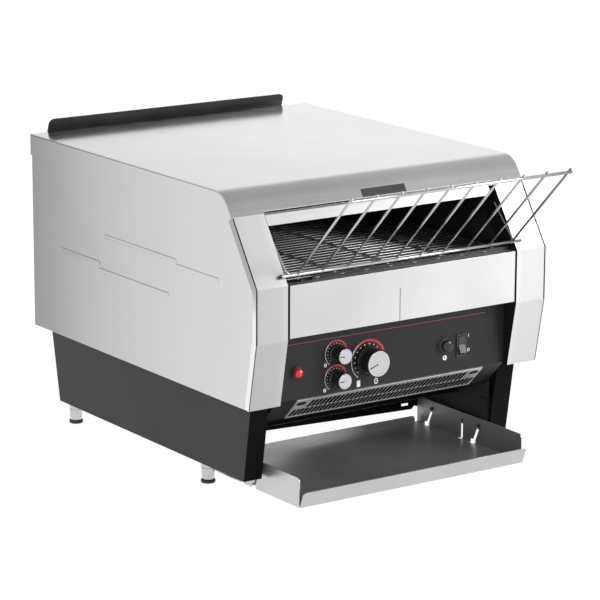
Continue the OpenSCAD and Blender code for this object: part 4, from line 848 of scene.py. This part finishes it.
signs = new_print()
for (x, z), radius, dot in ((SPEED, 21.9, 0.8), (TOP_HEAT, 13.4, 0.6), (BOTTOM_HEAT, 13.4, 0.6)):
    for k in range(DOTS):
        clock = math.radians(DOT_START + DOT_STEP * k)
        printed_ring(signs, x + radius * math.sin(clock), z + radius * math.cos(clock), 0.02, dot)
# A ring under the reset button, a ring and a bar at the rocker, a block and an oval under the
# speed dial, and an oval with a bar through it beside each heat dial.
printed_ring(signs, 85.5, 159, 1.3, 3.4)
printed_ring(signs, 125, 164.6, 1.2, 2.1)
printed_bar(signs, 124.6, 125.4, 182.3, 186.6)
printed_bar(signs, -59.2, -53.6, 140.4, 148.9)
printed_ring(signs, -27.9, 144.2, 2.1, 3.1, tall=1.35)
printed_ring(signs, -27.9, 144.2, 0.02, 0.8)
for x, z in ((-109.6, 177.4), (-110.5, 143.5)):
    printed_ring(signs, x, z, 1.3, 2.3, tall=1.15)
    printed_bar(signs, x - 0.9, x + 0.9, z - 0.4, z + 0.4)
finish_print(signs, "printed_signs", ink_material("white_ink", WHITE_INK))
red_line = new_print()
printed_bar(red_line, -183.5, 152, 212.1, 212.8)
finish_print(red_line, "red_line", ink_material("line_ink", LINE_INK))

# ---- Vent grille ----
# A bright stainless plate on the panel's folded part, with two rows of slanted slots and a
# turned slot for each screw. The slots' cut walls and their rounded rims are painted black: painted
# shade.
CHIN_TOP, VENT_EDGES, VENT_HALF, PLATE = 138.7, (5, 46), 151, 1.2
SCREW_SLOT_X, SCREW_SLOT_DOWN = 131, 22
chin_down = Vector((0, 1, -1)).normalized()
chin_out = Vector((0, -1, -1)).normalized()


def slot_wall(centre, normal):
    """The walls of the slots, but not the plate's faces, its outer edges or its screw slots: these take
    the painted shade.
    """
    down = (centre - at(0, PANEL, CHIN_TOP)).dot(chin_down) / MM
    inside = VENT_EDGES[0] < down < VENT_EDGES[1] and abs(centre.x) < VENT_HALF * MM
    by_screw = abs(centre.x) > SCREW_SLOT_X * MM and down < SCREW_SLOT_DOWN
    return 1 if inside and not by_screw and abs(normal.dot(chin_out)) < 0.7 else 0


skin("vent_grille", brushed("vent_steel", 0.72, ALONG_X, metallic=0.85, rough=(0.35, 0.45),
                            tone=0.04), painted_shade_black, edge=0.0, pick=slot_wall,
     rim=(0.6, chin_out))

# ---- Screws ----
# Pan head screws with cross recesses. Ten zinc plated ones hold the back panel and the flange.
# Two small blackened ones hold the grille, each over a dark oval of painted shadow on the plate.
def screw_mesh(head, length):
    """A screw whose head stands on zero, with a cross cut into it."""
    blank = turned_mesh([(0, -length), (head * 0.42, -length), (head * 0.5, 0.3 - length),
                         (head * 0.5, 0), (head, 0), (head, 0.5), (head * 0.92, 1.2),
                         (head * 0.6, 1.8), (0, 1.9)], steps=32)
    bars = bmesh.new()
    for angle in (0, math.pi / 2):
        bmesh.ops.create_cube(bars, size=1, matrix=Matrix.Translation((0, 0, 1.7 * MM))
                              @ Matrix.Rotation(angle, 4, "Z")
                              @ Matrix.Diagonal((head * 1.15 * MM, head * 0.26 * MM, 1.3 * MM, 1)))
    screw, cross = made_object("screw", blank), made_object("cross", as_mesh(bars, "cross"))
    cut = screw.modifiers.new("recess", "BOOLEAN")
    cut.object = cross
    cut.operation = "DIFFERENCE"
    cut.solver = "EXACT"
    cut.use_self = True
    made = bpy.data.meshes.new_from_object(screw.evaluated_get(bpy.context.evaluated_depsgraph_get()))
    bpy.data.objects.remove(screw)
    bpy.data.objects.remove(cross)
    return made


hand_turn = random.Random(5)


def screwed_in(place_at, tilt):
    """A screw's place and turn, its axis tilted about X and its cross at any angle."""
    turned_in = Matrix.Rotation(tilt, 3, "X") @ Matrix.Rotation(hand_turn.uniform(0, 1.5), 3, "Z")
    return place_at, tuple(turned_in.to_euler())


BACK = 569.5
spots = [screwed_in(at(x, BACK, z), -math.pi / 2) for x in (-226.5, 226.5)
         for z in (152.4, 274.45, 380.5)]
spots += [screwed_in(at(x, BACK + 1.5, 383), -math.pi / 2) for x in (-170, -60, 60, 170)]
screw_zinc = brushed("screw_zinc", 0.55, ALL_WAYS, rough=(0.25, 0.4))
stands_for(laid_out("back_screws", screw_zinc, (screw_mesh(3.4, 6), spots), angle=30),
           "casing_screws")
chin = Matrix.Translation(at(0, PANEL, CHIN_TOP)) @ Matrix.Rotation(math.radians(-45), 4, "X")
spots = [screwed_in(chin @ Vector((x * MM, 12.85 * MM, 0)), math.radians(135)) for x in (-141.5, 141.5)]
vent_screw_black = coated("vent_screw_black", 0.012, 0.03, metallic=0.5, rough=(0.3, 0.4))
stands_for(laid_out("vent_screws", vent_screw_black, (screw_mesh(2.4, 4), spots), angle=30),
           "casing_screws")
# Flat dark ovals under the grille screws: painted shadow.
OVAL_R, OVAL_SQUEEZE = 8, 0.55
oval = turned_mesh([(0, 0.02), (OVAL_R, 0.02), (OVAL_R, 0.1), (0, 0.1)], steps=32)
oval_spots = [(spot[0] + chin_out * PLATE * MM, (math.radians(135), 0, 0), (1, OVAL_SQUEEZE, 1))
              for spot in spots]
oval_shadows = laid_out("vent_screw_recesses", painted_shade_black, (oval, oval_spots))
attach(oval_shadows, "casing")

# ---- Knobs ----
# Moulded black knobs with a skirt. A spun aluminium disc is pressed into each face, and a dark
# line is printed on it from the rim to the middle.
knob_black = coated("knob_black", (0.008, 0.008, 0.009), (0.012, 0.012, 0.013), rough=(0.22, 0.32),
                    bump=0.05)

# Spun rings: fine steps that follow the distance from a point, seen from the front.
spun_rings, given, result = shader_group("spun_rings", {"Middle": (0, 0, 0)}, ["Rings"])
spot = place(spun_rings, "ShaderNodeTexCoord").outputs["Object"]
from_middle = vector_math(spun_rings, "SUBTRACT", spot, given["Middle"]).outputs["Vector"]
flat_way = vector_math(spun_rings, "MULTIPLY", from_middle, (1, 0, 1)).outputs["Vector"]
reach = vector_math(spun_rings, "LENGTH", flat_way)
steps = place(spun_rings, "ShaderNodeTexNoise", {"W": reach.outputs["Value"], "Scale": 1300.0,
                                                 "Detail": 2.0}, noise_dimensions="1D")
spun_rings.links.new(steps.outputs["Fac"], result["Rings"])


def spun_aluminium(name, middle_at):
    """Aluminium turned on a lathe: rings round a middle in its colour and height."""
    metal, tree, shader = new_finish(name, {"Metallic": 0.9, "Roughness": 0.26})
    marks = place(tree, "ShaderNodeGroup", {"Middle": middle_at}, node_tree=spun_rings)
    tree.links.new(ramp(tree, marks.outputs["Rings"], [(0.3, (0.32, 0.32, 0.33)),
                                                       (0.7, (0.72, 0.72, 0.73))]),
                   shader.inputs["Base Color"])
    raised(tree, shader, marks.outputs["Rings"], 0.2)
    return metal


pointer_ink = ink_material("pointer_ink", (0.03, 0.03, 0.035))
KNOB_GAP, SPINDLE_R, SPINDLE_LEN, DISC, DISC_FLOOR = 2.2, 3, 18.2, 1.4, 1.1
LINE_START, LINE_SHORT, LINE_LIFT, LINE_T = 1.0, 2.9, 0.12, 0.14
FORWARDS = (math.pi / 2, 0, 0)
for name, (x, z), length, radius, clock, width in (
        ("speed", SPEED, 24.6, 18.4, 250, 1.7), ("top_heat", TOP_HEAT, 22, 11.4, 270, 1.3),
        ("bottom_heat", BOTTOM_HEAT, 22, 11.4, 270, 1.3)):
    face, skirt, rim = length - KNOB_GAP, radius + 1.8, radius - 1.1
    knob = turned_mesh([(0, -SPINDLE_LEN), (SPINDLE_R, -SPINDLE_LEN), (SPINDLE_R, 0),
                        (skirt - 0.3, 0), (skirt, 0.3), (skirt, 2.2), (skirt - 0.2, 2.5),
                        (radius + 0.7, 3.4), (radius, face - 1), (radius - 0.2, face - 0.4),
                        (radius - 0.5, face), (radius - 0.9, face), (radius - 0.9, face - DISC),
                        (0, face - DISC)], steps=64)
    knob_spot = (at(x, PANEL - KNOB_GAP, z), FORWARDS)
    stands_for(laid_out(name + "_turned_knob", knob_black, (knob, [knob_spot]), angle=30),
               name + "_knob")
    disc = turned_mesh([(0, 0), (rim, 0), (rim, DISC_FLOOR), (rim - 0.4, DISC), (rim - 1.3, DISC),
                        (rim - 1.6, DISC_FLOOR), (0, DISC_FLOOR)], steps=64)
    disc_spot = (at(x, PANEL - length + DISC, z), FORWARDS)
    stands_for(laid_out(name + "_spun_disc", spun_aluminium(name + "_disc", at(x, 0, z)),
                        (disc, [disc_spot]), angle=30), name + "_knob_cap")
    along = Vector((math.sin(math.radians(clock)), 0, math.cos(math.radians(clock))))
    across = Vector((along.z, 0, -along.x)) * width * MM
    line_foot = at(x, PANEL - length + DISC - DISC_FLOOR - LINE_LIFT, z) - across / 2
    line_ends = [line_foot + along * out * MM for out in (LINE_START, radius - LINE_SHORT)]
    strip_along(name + "_pointer", line_ends, across, Vector((0, LINE_T * MM, 0)), pointer_ink,
                frame["nodes"][name + "_knob"]["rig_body"])
switch_body = coated("switch_body", (0.05, 0.05, 0.055), (0.07, 0.07, 0.075))
skin("knob_controls", switch_body)

# ---- Lamp ----
# A clear red lens with cut facets, pressed into a black plastic holder that clips into the
# panel.
lamp_red = coated("lamp_red", (0.42, 0.008, 0.012), (0.62, 0.02, 0.02), rough=(0.05, 0.12), bump=0.0,
                  specular=0.8)
LAMP, LAMP_SEAT, LENS_SIDES = (-155, 174.5), 23.4, 14
lens = bmesh.new()
lens_rows = []
for radius, out, shift in ((6.6, 0, 0), (6.6, 3, 0), (6.1, 5.0, 0.5), (4.4, 6.8, 0), (2.2, 7.7, 0.5)):
    spokes = [2 * math.pi * (k + shift) / LENS_SIDES for k in range(LENS_SIDES)]
    lens_rows.append([lens.verts.new(at(LAMP[0] + radius * math.cos(a), LAMP_SEAT - out,
                                        LAMP[1] + radius * math.sin(a))) for a in spokes])
for low, high, shifted in zip(lens_rows, lens_rows[1:], ("neither", "high", "low", "high")):
    for k in range(LENS_SIDES):
        n = (k + 1) % LENS_SIDES
        facets = {"neither": [(low[k], low[n], high[n], high[k])],
                  "high": [(low[k], low[n], high[k]), (low[n], high[n], high[k])],
                  "low": [(low[k], high[n], high[k]), (low[k], low[n], high[n])]}
        for facet in facets[shifted]:
            lens.faces.new(facet)
lens.faces.new(lens_rows[0])
lens.faces.new(lens_rows[-1])
stands_for(made_object("faceted_lens", closed_mesh(lens, "faceted_lens", lamp_red)), "lamp_lens")
skin("lamp_holder", black_plastic)

# ---- Reset button ----
# A domed black button, polished by use, in front of the thermal breaker that it resets.
skin("reset_button", coated("polished_black", 0.006, 0.010, rough=(0.08, 0.16), bump=0.02),
     edge=0.2)
skin("reset_breaker", switch_body)

# ---- Rocker switch ----
# A moulded on and off rocker in a black frame that clips into the panel. The rocker has a
# finer, lighter grain than its frame.
skin("rocker", coated("rocker_black", (0.020, 0.020, 0.021), (0.03, 0.03, 0.031), rough=(0.3, 0.4),
                      bump=0.1), edge=0.3)
skin("rocker_housing", black_plastic, edge=0.25)

# ---- Cord gland ----
# A ribbed nylon nut on a hexagonal body, screwed through the back panel. The cord itself isn't
# part of the model.
nut_black = coated("nut_black", 0.012, 0.02, rough=(0.4, 0.5))
CORD_R, RIBS, RIB_RING = 5.5, 20, 8.5
hexagon = turned_mesh([(CORD_R, 0), (12.4, 0), (12.9, 0.5), (12.9, 3.5), (12.4, 4), (CORD_R, 4)], steps=6)
tube = turned_mesh([(CORD_R, -9.2), (8.8, -9.2), (8.8, 4), (CORD_R, 4)], steps=40)
inner_nut = turned_mesh([(CORD_R, -7.2), (12.1, -7.2), (12.4, -6.9), (12.4, -1.6), (12.1, -1.2),
                         (CORD_R, -1.2)], steps=6)
dome_nut = turned_mesh([(CORD_R, 4), (8.6, 4), (8.6, 11.5), (8.0, 13.6), (6.8, 15), (CORD_R, 15)],
                       steps=40)
rib = turned_mesh([(0, 4.6), (0.5, 4.6), (0.5, 11.3), (0, 11.6)], steps=6)
gland_turn = (-math.pi / 2, 0, 0)
gland_place = at(165, BACK, 172)
spokes = [2 * math.pi * k / RIBS for k in range(RIBS)]
rib_spots = [(gland_place + Vector((math.cos(a), 0, math.sin(a))) * RIB_RING * MM, gland_turn)
             for a in spokes]
gland_pieces = [(mesh, [(gland_place, gland_turn)]) for mesh in (hexagon, tube, inner_nut, dome_nut)]
stands_for(laid_out("cable_gland", nut_black, *gland_pieces, (rib, rib_spots), angle=30),
           "cord_gland")

# ---- Feed rack ----
# Ten bars and two rods of bright plated steel, painted darker towards the right as painted shade, welded
# at each crossing.
# Two bent arms carry the rack on pins in the bezels, and a black sleeve caps the lower rod.
# The plated steel's colour is painted darker towards the right end: painted shade.
rack_chrome = brushed("rack_chrome", 0.52, ALL_WAYS, rough=(0.08, 0.16), tone=0.08, bump=0.03,
                      painted_fade=("X", 0.08, 0.18, [(0.0, 1.0), (1.0, 0.42)]))
ROD_R, BAR_R, ROD_HALF, BAR_LEN = 2.2, 1.6, 196, 168
LOW_ROD, TOP_ROD, PIVOT, ARM_X, ARM_BEND = (4.81, 309.91), (-114.01, 424.43), (48.5, 356.5), 183, 9
bar_lean = math.pi / 4
bar_turn = (bar_lean, 0, 0)
bar_way = Vector((0, -math.sin(bar_lean), math.cos(bar_lean)))
top_start, top_end = bar_places[0] - BAR_R, bar_places[-1] + BAR_R
rods = [(rod_mesh(2 * ROD_HALF, ROD_R), [(at(-ROD_HALF, *LOW_ROD), SIDEWAYS)]),
        (rod_mesh(top_end - top_start, ROD_R), [(at(top_start, *TOP_ROD), SIDEWAYS)]),
        (rod_mesh(BAR_LEN, BAR_R), [(at(x, *LOW_ROD), bar_turn) for x in bar_places])]
blob = turned_mesh([(0, -1), (0.5, -0.86), (0.86, -0.5), (1, 0), (0.86, 0.5), (0.5, 0.86), (0, 1)],
                   steps=12)
WELD_LIFT, WELD_LOW, WELD_TOP, WELD_ARM = 1.9, (2.5, 2.3, 1.5), (2.2, 2.4, 2.4), (3.2, 2.5, 2.5)
weld_spots = [(at(x, *LOW_ROD) + bar_way * WELD_LIFT * MM, bar_turn, WELD_LOW) for x in bar_places]
join_way = Vector((0, TOP_ROD[0] - LOW_ROD[0], TOP_ROD[1] - LOW_ROD[1])) * MM
top_joint = bar_way * join_way.dot(bar_way)
weld_spots += [(at(x, *LOW_ROD) + (top_joint + join_way) / 2, bar_turn, WELD_TOP)
               for x in bar_places]
PIN_R, PIN_START, PIN_END = 1.75, ARM_X - 1.9, 188.4
arms, pins = [], []
for side in (-1, 1):
    arms.append([at(side * (ARM_X - ARM_BEND), *LOW_ROD), at(side * ARM_X, *LOW_ROD),
                 at(side * ARM_X, *PIVOT)])
    pins.append([at(side * PIN_START, *PIVOT), at(side * PIN_END, *PIVOT)])
    weld_spots.append((at(side * (ARM_X - 5), *LOW_ROD), UPRIGHT, WELD_ARM))
straight = [set_out(shape, spots, rack_chrome) for shape, spots in [*rods, (blob, weld_spots)]]
stands_for(gathered("welded_rack", rack_chrome, *straight,
                    wire_mesh(arms, BAR_R, rack_chrome, bend=ARM_BEND, steps=10, sides=16),
                    wire_mesh(pins, PIN_R, rack_chrome, sides=16), angle=50), "feed_rack")
SLEEVE_LEN, SLEEVE_R = 4.4, 2.5
sleeve_spot = (at(-ROD_HALF - 0.3, *LOW_ROD), SIDEWAYS)
sleeve = laid_out("rod_sleeve", black_plastic, (rod_mesh(SLEEVE_LEN, SLEEVE_R), [sleeve_spot]))
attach(sleeve, frame["nodes"]["feed_rack"]["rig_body"])

# ---- Toast tray and hangers ----
# A folded stainless tray with a turned lip in front, painted darker inside than out as painted
# shade. It hangs on pins that are riveted to black straps, and it lifts off them for cleaning.
def tray_side(centre, normal):
    """The walls' inner faces and the back edge take a darker copy of the steel, and the lip's front is
    brushed lightly and painted a little darker: painted shade.
    """
    if normal.y < -0.5:
        return 1 if centre.y > front_face + 0.1 else 2
    return 1 if abs(normal.x) > 0.6 and abs(centre.x) < 0.1822 else 0


tray_steel = brushed("tray_steel", 0.60, ALONG_X, rough=(0.28, 0.4), metallic=0.84)
tray_painted_shade = brushed("tray_painted_shade", 0.31, ALONG_X, rough=(0.34, 0.46), metallic=0.8)
tray_lip_shaded = brushed("tray_lip_shaded", 0.52, ALONG_X, rough=(0.3, 0.42), tone=0.05)
skin("toast_tray", tray_steel, tray_painted_shade, tray_lip_shaded, edge=0.35, pick=tray_side)
skin("tray_hangers", side_black)
